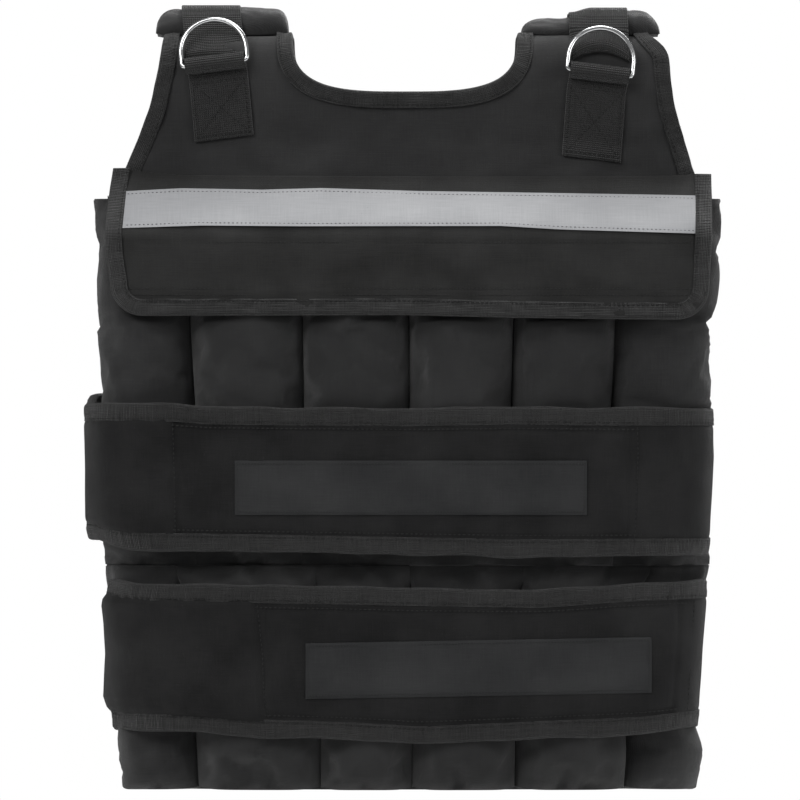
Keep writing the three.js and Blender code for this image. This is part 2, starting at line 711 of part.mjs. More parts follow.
// The frame of a ring's bar, standing on the webbing: local X along the bar, Y into the body, Z up
function keeperFrame({ keeperAt, bar, tilt }) {
  const girth = -girthAt(-bar);
  const x = keeperAt * PLAN_HALF_WIDTH;
  const normal = shellNormal(x, girth);
  const across = shell(x + SLOPE_STEP, girth).sub(shell(x - SLOPE_STEP, girth)).normalize();
  across.applyAxisAngle(normal, THREE.MathUtils.degToRad(tilt));
  const inwards = normal.clone().negate();
  const up = new THREE.Vector3().crossVectors(across, inwards);
  const height = SEAT + WEBBING_THICKNESS + SEAT + KEEPER_HALF_DEPTH;
  const frame = new THREE.Group();
  frame.position.copy(offShell(x, girth, height));
  frame.setRotationFromMatrix(new THREE.Matrix4().makeBasis(across, inwards, up));
  return frame;
}

// The sewn loop of webbing that holds a ring's bar
function keeper() {
  const shape = new THREE.Shape();
  shape.absellipse(0, 0, KEEPER_HALF_HEIGHT, KEEPER_HALF_DEPTH, 0, 2 * Math.PI);
  const hole = new THREE.Path();
  hole.absellipse(0, 0, KEEPER_HALF_HEIGHT - KEEPER_WALL, KEEPER_HALF_DEPTH - KEEPER_WALL, 0, 2 * Math.PI);
  shape.holes.push(hole);
  const geometry = new THREE.ExtrudeGeometry(shape, { depth: KEEPER_WIDTH, bevelEnabled: false, curveSegments: 14 });
  return geometry.rotateY(Math.PI / 2).translate(-KEEPER_WIDTH / 2, 0, 0);
}

// A welded D-ring with its straight bar along X and its bow towards +Z
function dRing() {
  const half = (RING_WIDTH - RING_WIRE) / 2;
  const corner = (centreX, from) =>
    stops(3).map((t) => {
      const angle = from + (t * Math.PI) / 2;
      return [centreX + RING_CORNER * Math.cos(angle), RING_CORNER + RING_CORNER * Math.sin(angle)];
    });
  const bow = stops(14).map((t) => [half * Math.cos(Math.PI * t), RING_SIDE + half * Math.sin(Math.PI * t)]);
  const path = [
    ...corner(-half + RING_CORNER, Math.PI),
    ...corner(half - RING_CORNER, 1.5 * Math.PI),
    ...bow,
  ].map(([x, z]) => new THREE.Vector3(x, 0, z));
  const plane = new THREE.Vector3(0, 1, 0);
  const section = new THREE.Path().absarc(0, 0, RING_WIRE / 2, 0, 2 * Math.PI).getPoints(RING_SIDES / 2);
  const rings = path.map((origin, i) => {
    const before = origin.clone().sub(path.at(i - 1)).normalize();
    const after = path[(i + 1) % path.length].clone().sub(origin).normalize();
    const outwards = before.add(after).normalize().cross(plane);
    return section.slice(1).map(({ x, y }) => origin.clone().addScaledVector(outwards, x).addScaledVector(plane, y));
  });
  return tube(rings, section.slice(1), true);
}

// The two panels, each with its bindings, its pockets and its flap
for (const [label, side] of Object.entries({ front: FRONT, back: BACK })) {
  add(`${label}_panel`, panel(side), BLACK_NYLON);
  add(`${label}_neck_binding`, neckBinding(side), BINDING_TAPE_CLOTH);
  for (const [hand, edges] of Object.entries(SIDES)) {
    add(`${label}_armhole_binding_${hand}`, armholeBinding(edges, side), BINDING_TAPE_CLOTH);
  }
  for (let i = 0; i < UPPER_SEAMS.length - 1; i++) {
    const upper = pocket(side, UPPER_SEAMS, i, UPPER_POCKETS, () => -UPPER_POCKETS.bottom);
    add(`${label}_upper_pocket_${i + 1}`, upper, BLACK_NYLON);
  }
  for (let i = 0; i < LOWER_SEAMS.length - 1; i++) {
    add(`${label}_lower_pocket_${i + 1}`, pocket(side, LOWER_SEAMS, i, LOWER_POCKETS, hemZ), BLACK_NYLON);
  }
  add(`${label}_flap`, flap(side), BLACK_NYLON);
  add(`${label}_flap_binding`, flapBinding(side), BINDING_TAPE_CLOTH);
}
add("reflective_tape", reflectiveTape(FRONT), REFLECTIVE);

// The shoulders, with a ring on the front of each
for (const [hand, edges] of Object.entries(SIDES)) {
  add(`shoulder_pad_${hand}`, shoulderPad(edges, PAD_OVERHANG[hand]), BLACK_NYLON);
  add(`shoulder_webbing_${hand}`, shoulderWebbing(STRAPS[hand]), WEBBING_CLOTH);
  const frame = keeperFrame(STRAPS[hand]);
  vest.add(frame);
  add(`ring_keeper_${hand}`, keeper(), WEBBING_CLOTH, frame);
  add(`d_ring_${hand}`, dRing(), RING_STEEL, frame).rotation.x = -RING_LEAN;
}

// The two belts
const BELTS = {
  upper: { belt: UPPER_BELT, label: UPPER_LABEL, seams: UPPER_SEAMS, row: UPPER_POCKETS },
  lower: { belt: LOWER_BELT, label: LOWER_LABEL, seams: LOWER_SEAMS, row: LOWER_POCKETS },
};
for (const [level, { belt, label, seams, row }] of Object.entries(BELTS)) {
  const plan = beltPlan(belt, seams, row);
  add(`${level}_belt`, beltBody(belt, plan), BELT_NYLON);
  add(`${level}_belt_top_binding`, beltBinding(belt, plan, "top"), BINDING_TAPE_CLOTH);
  add(`${level}_belt_bottom_binding`, beltBinding(belt, plan, "bottom"), BINDING_TAPE_CLOTH);
  add(`${level}_label`, beltLabel(belt, plan, label), LABEL_CLOTH);
}

export default vest;
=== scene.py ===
# A weighted training vest: padded shoulders with steel D-rings, rows of filled weight pockets under a
# storm flap with reflective tape, and closed padded waist belts. Sizes are in millimetres, meshes in
# metres, +Z up, the front faces -Y.
import math
from functools import partial

import bpy
import numpy as np
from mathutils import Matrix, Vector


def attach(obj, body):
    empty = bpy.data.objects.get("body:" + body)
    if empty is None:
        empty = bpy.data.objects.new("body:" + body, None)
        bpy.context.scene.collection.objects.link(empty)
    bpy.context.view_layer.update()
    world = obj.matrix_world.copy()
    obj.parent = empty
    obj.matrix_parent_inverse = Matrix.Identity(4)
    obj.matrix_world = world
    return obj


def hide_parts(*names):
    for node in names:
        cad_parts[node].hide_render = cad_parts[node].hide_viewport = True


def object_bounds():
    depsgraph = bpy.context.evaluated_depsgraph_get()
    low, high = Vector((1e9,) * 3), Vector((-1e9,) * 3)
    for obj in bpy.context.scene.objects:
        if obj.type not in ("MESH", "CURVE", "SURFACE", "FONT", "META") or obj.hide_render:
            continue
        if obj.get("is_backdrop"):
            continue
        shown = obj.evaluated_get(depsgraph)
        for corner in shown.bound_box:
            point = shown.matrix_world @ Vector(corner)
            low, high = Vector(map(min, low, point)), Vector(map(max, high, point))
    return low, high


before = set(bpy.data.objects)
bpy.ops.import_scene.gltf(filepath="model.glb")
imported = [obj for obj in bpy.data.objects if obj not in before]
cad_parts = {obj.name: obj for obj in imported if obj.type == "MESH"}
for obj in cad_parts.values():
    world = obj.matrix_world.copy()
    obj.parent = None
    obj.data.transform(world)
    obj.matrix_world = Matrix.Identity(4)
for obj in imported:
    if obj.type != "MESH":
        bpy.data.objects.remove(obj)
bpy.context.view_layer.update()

# The studio: a camera far in front of the vest, as a long lens sees it, a large soft light from the
# upper left, a weaker one from the right and one from above, over a plain pale floor.
camera_data = bpy.data.cameras.new("photo_camera")
camera_data.lens = 529.4
camera = bpy.data.objects.new("photo_camera", camera_data)
camera.location = (-0.0034, -8.11, -0.2516)
camera.rotation_euler = (math.radians(90), 0, 0)
bpy.context.collection.objects.link(camera)
bpy.context.scene.camera = camera
bpy.context.scene.view_settings.view_transform = "Standard"


def soft_light(name, place, target, size, power):
    data = bpy.data.lights.new(name, "AREA")
    data.shape = "SQUARE"
    data.size = size
    data.energy = power
    light = bpy.data.objects.new(name, data)
    light.location = place
    aim = np.array(target) - np.array(place)
    tip = math.acos(-aim[2] / np.linalg.norm(aim))
    light.rotation_euler = (tip, 0, math.atan2(aim[1], aim[0]) - math.pi / 2)
    bpy.context.collection.objects.link(light)


soft_light("key_light", (-1.5, -2.0, 1.5), (0, 0, -0.25), 1.6, 42)
soft_light("fill_light", (2.1, -1.6, 0.3), (0, 0, -0.3), 1.4, 13)
soft_light("top_light", (0.2, 0.1, 1.9), (0, 0, -0.2), 1.2, 22)
soft_light("back_light", (0.9, 2.4, 1.1), (0, 0, -0.3), 1.6, 40)


def feed(made, inputs):
    """Sets a node's inputs, or links those whose value is the output of another node."""
    for socket, value in dict(inputs).items():
        if isinstance(value, bpy.types.NodeSocket):
            made.id_data.links.new(value, made.inputs[socket])
        else:
            made.inputs[socket].default_value = value
    return made


def node(tree, kind, inputs=(), **settings):
    made = tree.nodes.new(kind)
    for setting, value in settings.items():
        setattr(made, setting, value)
    return feed(made, inputs)


world = bpy.data.worlds.new("pale_studio")
bpy.context.scene.world = world
world.use_nodes = True
sky = world.node_tree
cast = feed(sky.nodes["Background"], {"Color": (1, 1, 1, 1), "Strength": 0.16})
seen = node(sky, "ShaderNodeBackground", {"Color": (1, 1, 1, 1), "Strength": 1.0})
by_eye = node(sky, "ShaderNodeLightPath").outputs["Is Camera Ray"]
either = node(sky, "ShaderNodeMixShader", {"Fac": by_eye, 1: cast.outputs[0], 2: seen.outputs[0]})
feed(sky.nodes["World Output"], {"Surface": either.outputs[0]})

FLOOR_HALF = 0.93
FLOOR_HEIGHT = -0.56
floor_mesh = bpy.data.meshes.new("floor")
floor_signs = ((-1, -1), (1, -1), (1, 1), (-1, 1))
floor_corners = [(x * FLOOR_HALF, y * FLOOR_HALF, FLOOR_HEIGHT) for x, y in floor_signs]
floor_mesh.from_pydata(floor_corners, [], [(0, 1, 2, 3)])
floor = bpy.data.objects.new("floor", floor_mesh)
bpy.context.collection.objects.link(floor)
floor_paint = bpy.data.materials.new("floor_paint")
floor_paint.use_nodes = True
floor_shader = floor_paint.node_tree.nodes["Principled BSDF"]
feed(floor_shader, {"Base Color": (0.85, 0.85, 0.85, 1), "Roughness": 0.9})
floor_mesh.materials.append(floor_paint)
floor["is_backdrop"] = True

# The vest's form: the outer face of both panels as it lies on the wearer, flat over the shoulders,
# leaning out over the chest and straight down to the hem, and rounded towards the sides.
SHOULDER_DEPTH = 68
ARCH_HEIGHT = 75
CHEST_DEPTH = 98
CHEST_DROP = 200
HEM_DROP = 517
PLAN_HALF_WIDTH = 215
PLAN_POWER = 2.8
PLAN_WIDTHS = {0: 1.28, 75: 1.05, 200: 1.01, 362: 0.945, 517: 0.925}
PANEL_SHARE = 0.92
FRONT, BACK = -1, 1

arch = np.linspace(math.pi / 2, 0, 121)
profile_depth = np.concatenate([SHOULDER_DEPTH * np.cos(arch).clip(0) ** 0.4, [CHEST_DEPTH, CHEST_DEPTH]])
profile_depth[0] = 0
profile_drop = np.concatenate([ARCH_HEIGHT * (1 - np.sin(arch).clip(0) ** 0.4), [CHEST_DROP, HEM_DROP]])
profile_girth = np.concatenate([[0], np.hypot(np.diff(profile_depth), np.diff(profile_drop)).cumsum()])


def girth_at(drop):
    return np.interp(drop, profile_drop, profile_girth) + np.maximum(np.asarray(drop) - HEM_DROP, 0)


def drop_at(girth):
    beyond = np.maximum(np.asarray(girth) - profile_girth[-1], 0)
    return np.interp(girth, profile_girth, profile_drop) + beyond


def table_at(value, table):
    return np.interp(value, list(table), list(table.values()))


def together(*parts):
    """Coordinates as an array of points, each part spread over the others."""
    return np.stack(np.broadcast_arrays(*parts), -1)


def plan_half_width(drop):
    return PLAN_HALF_WIDTH * table_at(drop, PLAN_WIDTHS)


def panel_edge(drop):
    return PANEL_SHARE * plan_half_width(drop)


def shell(x, girth):
    reach = np.abs(girth)
    drop = drop_at(reach)
    share = np.minimum(np.abs(x) / plan_half_width(drop), 0.99)
    round_plan = (1 - share**PLAN_POWER) ** (1 / PLAN_POWER)
    y = np.sign(girth) * np.interp(reach, profile_girth, profile_depth) * round_plan
    return together(x, y, -drop)


def shell_normal(x, girth):
    across = shell(x + 0.5, girth) - shell(x - 0.5, girth)
    normal = np.cross(across, shell(x, girth + 0.5) - shell(x, girth - 0.5))
    return normal / np.linalg.norm(normal, axis=-1, keepdims=True)


def off_shell(x, girth, height):
    x, girth, height = np.broadcast_arrays(np.asarray(x, float), girth, height)
    return shell(x, girth) + shell_normal(x, girth) * height[..., None]


def eased(value, start, end):
    t = np.clip((np.asarray(value, float) - start) / (end - start), 0, 1)
    return t * t * (3 - 2 * t)


# The fabric: black coated nylon, a plain weave with a dull sheen and a little lint. Every piece is
# laid out as a grid of threads with a face, a back and a rounded edge, and creased by handling.
def rounded(distance, thickness):
    inside = np.clip(distance / (thickness / 2), 0.03, 1)
    return thickness / 2 * np.sqrt(1 - (1 - inside) ** 2)


def threads(length, pitch, thickness):
    edge = thickness / 2 * np.array([0, 0.12, 0.5, 1])
    middle = np.linspace(edge[-1], length - edge[-1], max(int(length / pitch), 2) + 1)
    return np.concatenate([edge[:-1], middle, length - edge[-2::-1]])


def creases(shape, pitch, long, wide, turn, seed):
    """Soft folds about 1 high, as long and wide as told, turned from the rows."""
    rows, cols = shape
    spare = 32
    size = (rows + 2 * spare, cols + 2 * spare)
    field = np.fft.rfft2(np.random.default_rng(seed).standard_normal(size))
    fy, fx = np.meshgrid(np.fft.fftfreq(size[0], pitch), np.fft.rfftfreq(size[1], pitch), indexing="ij")
    along = fx * math.cos(turn) + fy * math.sin(turn)
    aside = fy * math.cos(turn) - fx * math.sin(turn)
    soften = np.exp(-2 * (math.pi**2) * ((along * long) ** 2 + (aside * wide) ** 2))
    field = np.fft.irfft2(field * soften, size)
    field = field[spare : spare + rows, spare : spare + cols]
    return (field - field.mean()) / field.std()


def tucks(x, drop, table):
    """Single folds, each as (x, drop, half length, half width, turn in degrees, height)."""
    total = 0
    for at_x, at_drop, long, wide, turn, height in table:
        c, s = math.cos(math.radians(turn)), math.sin(math.radians(turn))
        along, aside = (x - at_x) * c + (drop - at_drop) * s, (drop - at_drop) * c - (x - at_x) * s
        total = total + height * np.exp(-((along / long) ** 2) - (aside / wide) ** 2)
    return total


def sew(name, face, back, uv, material, slot, looped=False, keep=None):
    """A closed piece of cloth between two grids of points, with its threads as its UV map."""
    rows, cols = face.shape[:2]
    wide = cols + 1 if looped else cols
    spot = np.arange(rows * wide).reshape(rows, wide)
    quads = np.stack([spot[:-1, :-1], spot[:-1, 1:], spot[1:, 1:], spot[1:, :-1]], -1)
    quads = quads[keep] if keep is not None else quads.reshape(-1, 4)
    vertex = np.add.outer(np.arange(rows) * cols, np.arange(wide) % cols).ravel()
    edges = np.concatenate([quads[:, [i, (i + 1) % 4]] for i in range(4)])
    keys = np.sort(vertex[edges], axis=1)
    _, first, uses = np.unique(keys, axis=0, return_index=True, return_counts=True)
    rim = edges[first[uses == 1]]
    rim = np.concatenate([rim[:, ::-1], rim + rows * wide], axis=1)
    faces = np.concatenate([quads, quads[:, ::-1] + rows * wide, rim])
    vertex = np.concatenate([vertex, vertex + rows * cols])
    points = np.concatenate([face.reshape(-1, 3), back.reshape(-1, 3)]) * 0.001
    corners = vertex[faces]
    a, b, c, d = (points[corners[:, i]] for i in range(4))
    if (a * np.cross(b, c)).sum() + (a * np.cross(c, d)).sum() < 0:
        faces, corners = faces[:, ::-1], corners[:, ::-1]
    used, renumbered = np.unique(corners, return_inverse=True)
    mesh = bpy.data.meshes.new(name)
    mesh.from_pydata(points[used].tolist(), [], renumbered.reshape(corners.shape).tolist())
    flat = np.concatenate([np.broadcast_to(uv, (rows, wide, 2)).reshape(-1, 2)] * 2) * 0.001
    mesh.uv_layers.new(name="threads").data.foreach_set("uv", flat[faces].ravel().astype(np.float32))
    mesh.polygons.foreach_set("use_smooth", [True] * len(mesh.polygons))
    mesh.materials.append(material)
    mesh.update()
    piece = bpy.data.objects.new(name, mesh)
    bpy.context.collection.objects.link(piece)
    return piece


def plain_weave():
    """Threads that pass over and under each other, with thicker and thinner ones among them."""
    group = bpy.data.node_groups.new("plain_weave", "ShaderNodeTree")
    new = group.interface.new_socket
    new("Threads", in_out="INPUT", socket_type="NodeSocketVector")
    for socket, value in (("Pitch", 0.0005), ("Slub", 0.5)):
        new(socket, in_out="INPUT", socket_type="NodeSocketFloat").default_value = value
    for socket in ("Height", "Shade"):
        new(socket, in_out="OUTPUT", socket_type="NodeSocketFloat")
    given = node(group, "NodeGroupInput").outputs

    def worked_out(operation, *values):
        return node(group, "ShaderNodeMath", enumerate(values), operation=operation).outputs[0]

    axes = node(group, "ShaderNodeSeparateXYZ", {0: given["Threads"]}).outputs
    waves, slubs = [], []
    for axis, stretch in enumerate(((1500, 60, 1), (60, 1500, 1))):
        turns = worked_out("MULTIPLY", worked_out("DIVIDE", axes[axis], given["Pitch"]), math.pi)
        waves.append(worked_out("ABSOLUTE", worked_out("SINE", turns)))
        drawn = node(group, "ShaderNodeMapping", {"Scale": stretch, "Vector": given["Threads"]})
        slub = node(group, "ShaderNodeTexNoise", {"Scale": 1, "Detail": 1, "Vector": drawn.outputs[0]})
        slubs.append(slub.outputs["Fac"])
    knobs = worked_out("MULTIPLY", *waves)
    uneven = worked_out("ADD", *slubs)
    height = worked_out("MULTIPLY_ADD", uneven, given["Slub"], knobs)
    node(group, "NodeGroupOutput", {"Height": height, "Shade": worked_out("MULTIPLY", uneven, 0.5)})
    return group


def lint():
    """Where cloth has been rubbed and has caught a little dust: broad soft patches and fine specks."""
    group = bpy.data.node_groups.new("lint_and_rubbing", "ShaderNodeTree")
    group.interface.new_socket("Place", in_out="INPUT", socket_type="NodeSocketVector")
    for socket in ("Rubbed", "Specks"):
        group.interface.new_socket(socket, in_out="OUTPUT", socket_type="NodeSocketFloat")
    place = node(group, "NodeGroupInput").outputs["Place"]
    wear = {}
    for socket, scale, low, high in (("Rubbed", 28, 0.35, 0.7), ("Specks", 900, 0.66, 0.8)):
        noise = node(group, "ShaderNodeTexNoise", {"Scale": scale, "Detail": 4, "Vector": place})
        range_of_noise = {"From Min": low, "From Max": high, "Value": noise.outputs["Fac"]}
        wear[socket] = node(group, "ShaderNodeMapRange", range_of_noise).outputs[0]
    node(group, "NodeGroupOutput", wear)
    return group


weave_group, lint_group = plain_weave(), lint()


def mixed(tree, factor, first, second, **settings):
    """The colour between two others, by a factor."""
    inputs = {"Factor": factor, "A": first, "B": second}
    return node(tree, "ShaderNodeMix", inputs, data_type="RGBA", **settings).outputs["Result"]


def cloth_finish(name, dark, light, pitch, slub, relief, roughness, sheen, shine=0.32):
    """A woven finish; pitch and relief are the thread's spacing and height in metres."""
    material = bpy.data.materials.new(name)
    material.use_nodes = True
    tree = material.node_tree
    laid = node(tree, "ShaderNodeUVMap", uv_map="threads").outputs[0]
    weave = node(tree, "ShaderNodeGroup", node_tree=weave_group)
    feed(weave, {"Threads": laid, "Pitch": pitch, "Slub": slub})
    place = node(tree, "ShaderNodeTexCoord").outputs["Object"]
    worn = node(tree, "ShaderNodeGroup", node_tree=lint_group)
    feed(worn, {"Place": place})
    shades = {"From Min": 0.3, "From Max": 0.7, "Value": weave.outputs["Shade"]}
    tone = node(tree, "ShaderNodeMapRange", shades).outputs[0]
    cloth = mixed(tree, tone, (*dark, 1), (*light, 1))
    rubbed = mixed(tree, worn.outputs["Rubbed"], cloth, (0.009, 0.009, 0.009, 1), blend_type="SCREEN")
    faint = node(tree, "ShaderNodeMath", {0: worn.outputs["Specks"], 1: 0.35}, operation="MULTIPLY")
    dusty = mixed(tree, faint.outputs[0], rubbed, (0.09, 0.09, 0.09, 1))
    wear = {"To Min": roughness + 0.08, "To Max": roughness - 0.08, "Value": worn.outputs["Rubbed"]}
    gloss = node(tree, "ShaderNodeMapRange", wear).outputs[0]
    bump = node(tree, "ShaderNodeBump", {"Distance": relief, "Height": weave.outputs["Height"]})
    shader = feed(tree.nodes["Principled BSDF"], {"Sheen Weight": sheen, "Sheen Roughness": 0.45})
    feed(shader, {"Specular IOR Level": shine, "Base Color": dusty})
    feed(shader, {"Roughness": gloss, "Normal": bump.outputs[0]})
    return material


NYLON = dict(pitch=0.00045, slub=0.8, relief=0.00016)
shell_nylon = cloth_finish(
    "shell_nylon", (0.0125, 0.0125, 0.013), (0.024, 0.024, 0.0245), roughness=0.6, sheen=0.25, **NYLON
)

# The sewing thread: bonded black thread in even stitches that stand a little proud of the cloth, and
# a grey one for the reflective tape.
def thread_finish(name, dark, light):
    material = bpy.data.materials.new(name)
    material.use_nodes = True
    tree = material.node_tree
    place = node(tree, "ShaderNodeTexCoord").outputs["Object"]
    ply = node(tree, "ShaderNodeTexWave", {"Scale": 900, "Distortion": 2, "Vector": place})
    plies = mixed(tree, ply.outputs["Fac"], (*dark, 1), (*light, 1))
    feed(tree.nodes["Principled BSDF"], {"Base Color": plies, "Roughness": 0.5})
    return material


thread_black = thread_finish("thread_black", (0.003, 0.003, 0.003), (0.014, 0.014, 0.014))
thread_grey = thread_finish("thread_grey", (0.05, 0.05, 0.052), (0.2, 0.2, 0.21))


def stitch_tree():
    """Even stitches along a seam, as small tapered grains of thread."""
    tree = bpy.data.node_groups.new("stitches", "GeometryNodeTree")
    new = tree.interface.new_socket
    new("Seam", in_out="INPUT", socket_type="NodeSocketGeometry")
    for socket, value in (("Pitch", 0.0033), ("Length", 0.0027), ("Thread", 0.0007)):
        new(socket, in_out="INPUT", socket_type="NodeSocketFloat").default_value = value
    new("Seed", in_out="INPUT", socket_type="NodeSocketInt").default_value = 3
    new("Finish", in_out="INPUT", socket_type="NodeSocketMaterial")
    new("Stitches", in_out="OUTPUT", socket_type="NodeSocketGeometry")
    given = node(tree, "NodeGroupInput").outputs
    even = node(tree, "GeometryNodeResampleCurve", mode="LENGTH")
    feed(even, {"Curve": given["Seam"], "Length": given["Pitch"]})
    grain = node(tree, "GeometryNodeMeshUVSphere", {"Segments": 5, "Rings": 3, "Radius": 0.5})
    ahead = node(tree, "GeometryNodeInputTangent").outputs[0]
    turned = node(tree, "FunctionNodeAlignRotationToVector", {"Vector": ahead}, axis="X")
    spread = {2: 0.88, 3: 1.12, "Seed": given["Seed"]}
    uneven = node(tree, "FunctionNodeRandomValue", spread, data_type="FLOAT")
    long = node(tree, "ShaderNodeMath", {0: given["Length"], 1: uneven.outputs[1]}, operation="MULTIPLY")
    girth = {"X": long.outputs[0], "Y": given["Thread"], "Z": given["Thread"]}
    size = node(tree, "ShaderNodeCombineXYZ", girth)
    placed = node(tree, "GeometryNodeInstanceOnPoints", {"Points": even.outputs[0]})
    feed(placed, {"Instance": grain.outputs["Mesh"], "Rotation": turned.outputs[0]})
    feed(placed, {"Scale": size.outputs[0]})
    real = node(tree, "GeometryNodeRealizeInstances", {0: placed.outputs[0]})
    smooth = node(tree, "GeometryNodeSetShadeSmooth", {0: real.outputs[0]})
    dressed = {"Geometry": smooth.outputs[0], "Material": given["Finish"]}
    finish = node(tree, "GeometryNodeSetMaterial", dressed)
    node(tree, "NodeGroupOutput", {"Stitches": finish.outputs[0]})
    return tree


stitches = stitch_tree()


def stitch(name, seams, finish=thread_black, slot="binding", closed=False, **sizes):
    """Stitches along lines of points, each line an array in millimetres."""
    curve = bpy.data.curves.new(name, "CURVE")
    curve.dimensions = "3D"
    for seam in seams:
        spline = curve.splines.new("POLY")
        spline.points.add(len(seam) - 1)
        spline.points.foreach_set("co", np.hstack([seam * 0.001, np.ones((len(seam), 1))]).ravel())
        spline.use_cyclic_u = closed
    guide = bpy.data.objects.new(name + "_guide", curve)
    bpy.context.collection.objects.link(guide)
    sewn = guide.modifiers.new("stitches", "NODES")
    sewn.node_group = stitches
    inputs = {s.name: s.identifier for s in stitches.interface.items_tree if s.in_out == "INPUT"}
    sewn[inputs["Finish"]] = finish
    for size, value in sizes.items():
        sewn[inputs[size]] = value
    seen = guide.evaluated_get(bpy.context.evaluated_depsgraph_get())
    mesh = bpy.data.meshes.new_from_object(seen)
    bpy.data.objects.remove(guide)
    mesh.name = name
    piece = bpy.data.objects.new(name, mesh)
    bpy.context.collection.objects.link(piece)
    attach(piece, "vest")
    return piece


# The two panels: foam between two layers of nylon, cut out for the neck and the arms. They carry all
# the rest, and their sides stay open to the wearer's sides.
NECK_HALF_WIDTH = 78
NECK_DROP = 42
ARMHOLES = {
    -1: {0: 164, 24: 167.5, 51: 173.5, 71: 181, 92: 190, 104: 195},
    1: {0: 164, 3: 168, 11: 177, 15: 179.5, 34: 181, 51: 183.5, 96: 197, 104: 200},
}
PANEL_THICKNESS = 6
HEM_CORNER = 30
SEAT = 0.4
CHEST_TUCKS = (
    (-104, 95, 9, 3, 8, -1.6),
    (-142, 94, 7, 2.6, -10, -1.5),
    (-128, 84, 26, 5, -14, 1.1),
    (-150, 76, 20, 4, -30, 0.9),
    (-95, 60, 30, 7, 62, 0.8),
    (98, 93, 12, 3, -5, -1.2),
    (150, 93, 14, 3, 4, -1.5),
    (92, 70, 26, 6, -68, 0.8),
    (170, 78, 22, 4, 55, 0.7),
    (20, 78, 60, 9, 10, 0.7),
    (-30, 66, 50, 8, -20, -0.6),
)


def hem_drop(share, corner=HEM_CORNER):
    start = 1 - corner / panel_edge(HEM_DROP)
    t = np.clip((np.abs(share) - start) / (1 - start), 0, 1)
    return HEM_DROP - corner * (1 - np.sqrt(1 - t * t))


def neck_x(drop):
    return NECK_HALF_WIDTH * np.clip(1 - (np.asarray(drop) / NECK_DROP) ** 3.2, 0, 1) ** (1 / 3.2)


def eased_table(value, table, radius=5):
    """Values of a table read with rounded corners."""
    shifts = ((-radius, 0.25), (0, 0.5), (radius, 0.25))
    return sum(table_at(value + shift, table) * weight for shift, weight in shifts)


def armhole_x(drop, hand):
    return eased_table(np.asarray(drop, float), ARMHOLES[hand], 3)


PANEL_TOP = 37.0
CUT_MARGIN = 1.4
ARMHOLE_END = 113
for label, side in (("front", FRONT), ("back", BACK)):
    columns = threads(2, 0.018, 0.02)[None, :] - 1
    length = girth_at(hem_drop(columns)) - PANEL_TOP
    rows = threads(1, 0.0068, 0.004)[:, None]
    girth = PANEL_TOP + rows * length
    drop = drop_at(girth)
    x = columns * panel_edge(drop)
    folds = 0.4 * creases(x.shape, 3.6, 26, 8, 0.5, 11 + side)
    folds = folds + 0.22 * creases(x.shape, 3.6, 12, 4, -0.7, 21 + side)
    folds = folds + tucks(x * -side, drop, CHEST_TUCKS)
    middle = -PANEL_THICKNESS / 2
    away = np.minimum((1 - np.abs(columns)) * panel_edge(drop), (1 - rows) * length)
    half = rounded(away, PANEL_THICKNESS)
    face = off_shell(x, side * girth, middle + half + (folds - 0.3) * np.clip(away / 30, 0, 1))
    back = off_shell(x, side * girth, middle - half)
    cx = (x[:-1, :-1] + x[1:, 1:]) / 2
    cdrop = (drop[:-1, :-1] + drop[1:, 1:]) / 2
    open_neck = (cdrop < NECK_DROP) & (np.abs(cx) < neck_x(cdrop) + CUT_MARGIN)
    beyond_left = cx < CUT_MARGIN - armhole_x(cdrop, -1)
    open_arm = (cdrop < ARMHOLE_END) & (beyond_left | (cx > armhole_x(cdrop, 1) - CUT_MARGIN))
    uv = together(x, girth)
    left_whole = ~(open_neck | open_arm)
    piece = sew(f"{label}_panel_cloth", face, back, uv, shell_nylon, "shell_nylon", keep=left_whole)
    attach(piece, "vest")
    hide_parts(f"{label}_panel")

# The shoulders: a foam roll sewn over the top of each strap and onto both panels, pinched thin at its
# two corners and fullest beside the webbing.
PAD_LENGTH = 90
ROLL_TOPS = {
    "left": {-171: 13, -163: 15.6, -150: 16, -112: 17.6, -90: 17.4, -80: 16.5},
    "right": {80: 7, 86: 9.2, 98: 10, 110: 10.2, 126: 14, 153: 15.6, 166: 15.2, 175: 8.5},
}
for hand, sign in (("left", -1), ("right", 1)):
    tops = ROLL_TOPS[hand]
    across = threads(1, 0.016, 0.03)[None, :]
    along = threads(1, 0.016, 0.03)[:, None]
    x = min(tops) + (max(tops) - min(tops)) * across
    reach = PAD_LENGTH / 2 * (0.86 + 0.14 * (1 - np.abs(2 * across - 1) ** 3))
    x, girth = np.broadcast_arrays(x, (2 * along - 1) * reach)
    sides = (1 - np.abs(2 * across - 1) ** 16).clip(0) ** (1 / 2.2)
    ends = (1 - np.abs(2 * along - 1) ** 4.5).clip(0) ** (1 / 2.6)
    plump = eased_table(x, tops, 4) * (0.03 + 0.97 * sides * ends)
    wrinkle = creases(x.shape, 1.6, 9, 3, 0.2, 31 + sign) * 0.4
    wrinkle = wrinkle + creases(x.shape, 1.6, 4, 1.8, -0.5, 33 + sign) * 0.25
    plump = plump + wrinkle * (sides * ends) ** 0.5
    face = off_shell(x, girth, SEAT + plump)
    back = off_shell(np.clip(x, -168, 168), girth, SEAT)
    uv = np.stack([x, girth], -1)
    piece = sew(f"shoulder_roll_{hand}", face, back, uv, shell_nylon, "shell_nylon")
    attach(piece, "vest")
    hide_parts(f"shoulder_pad_{hand}")

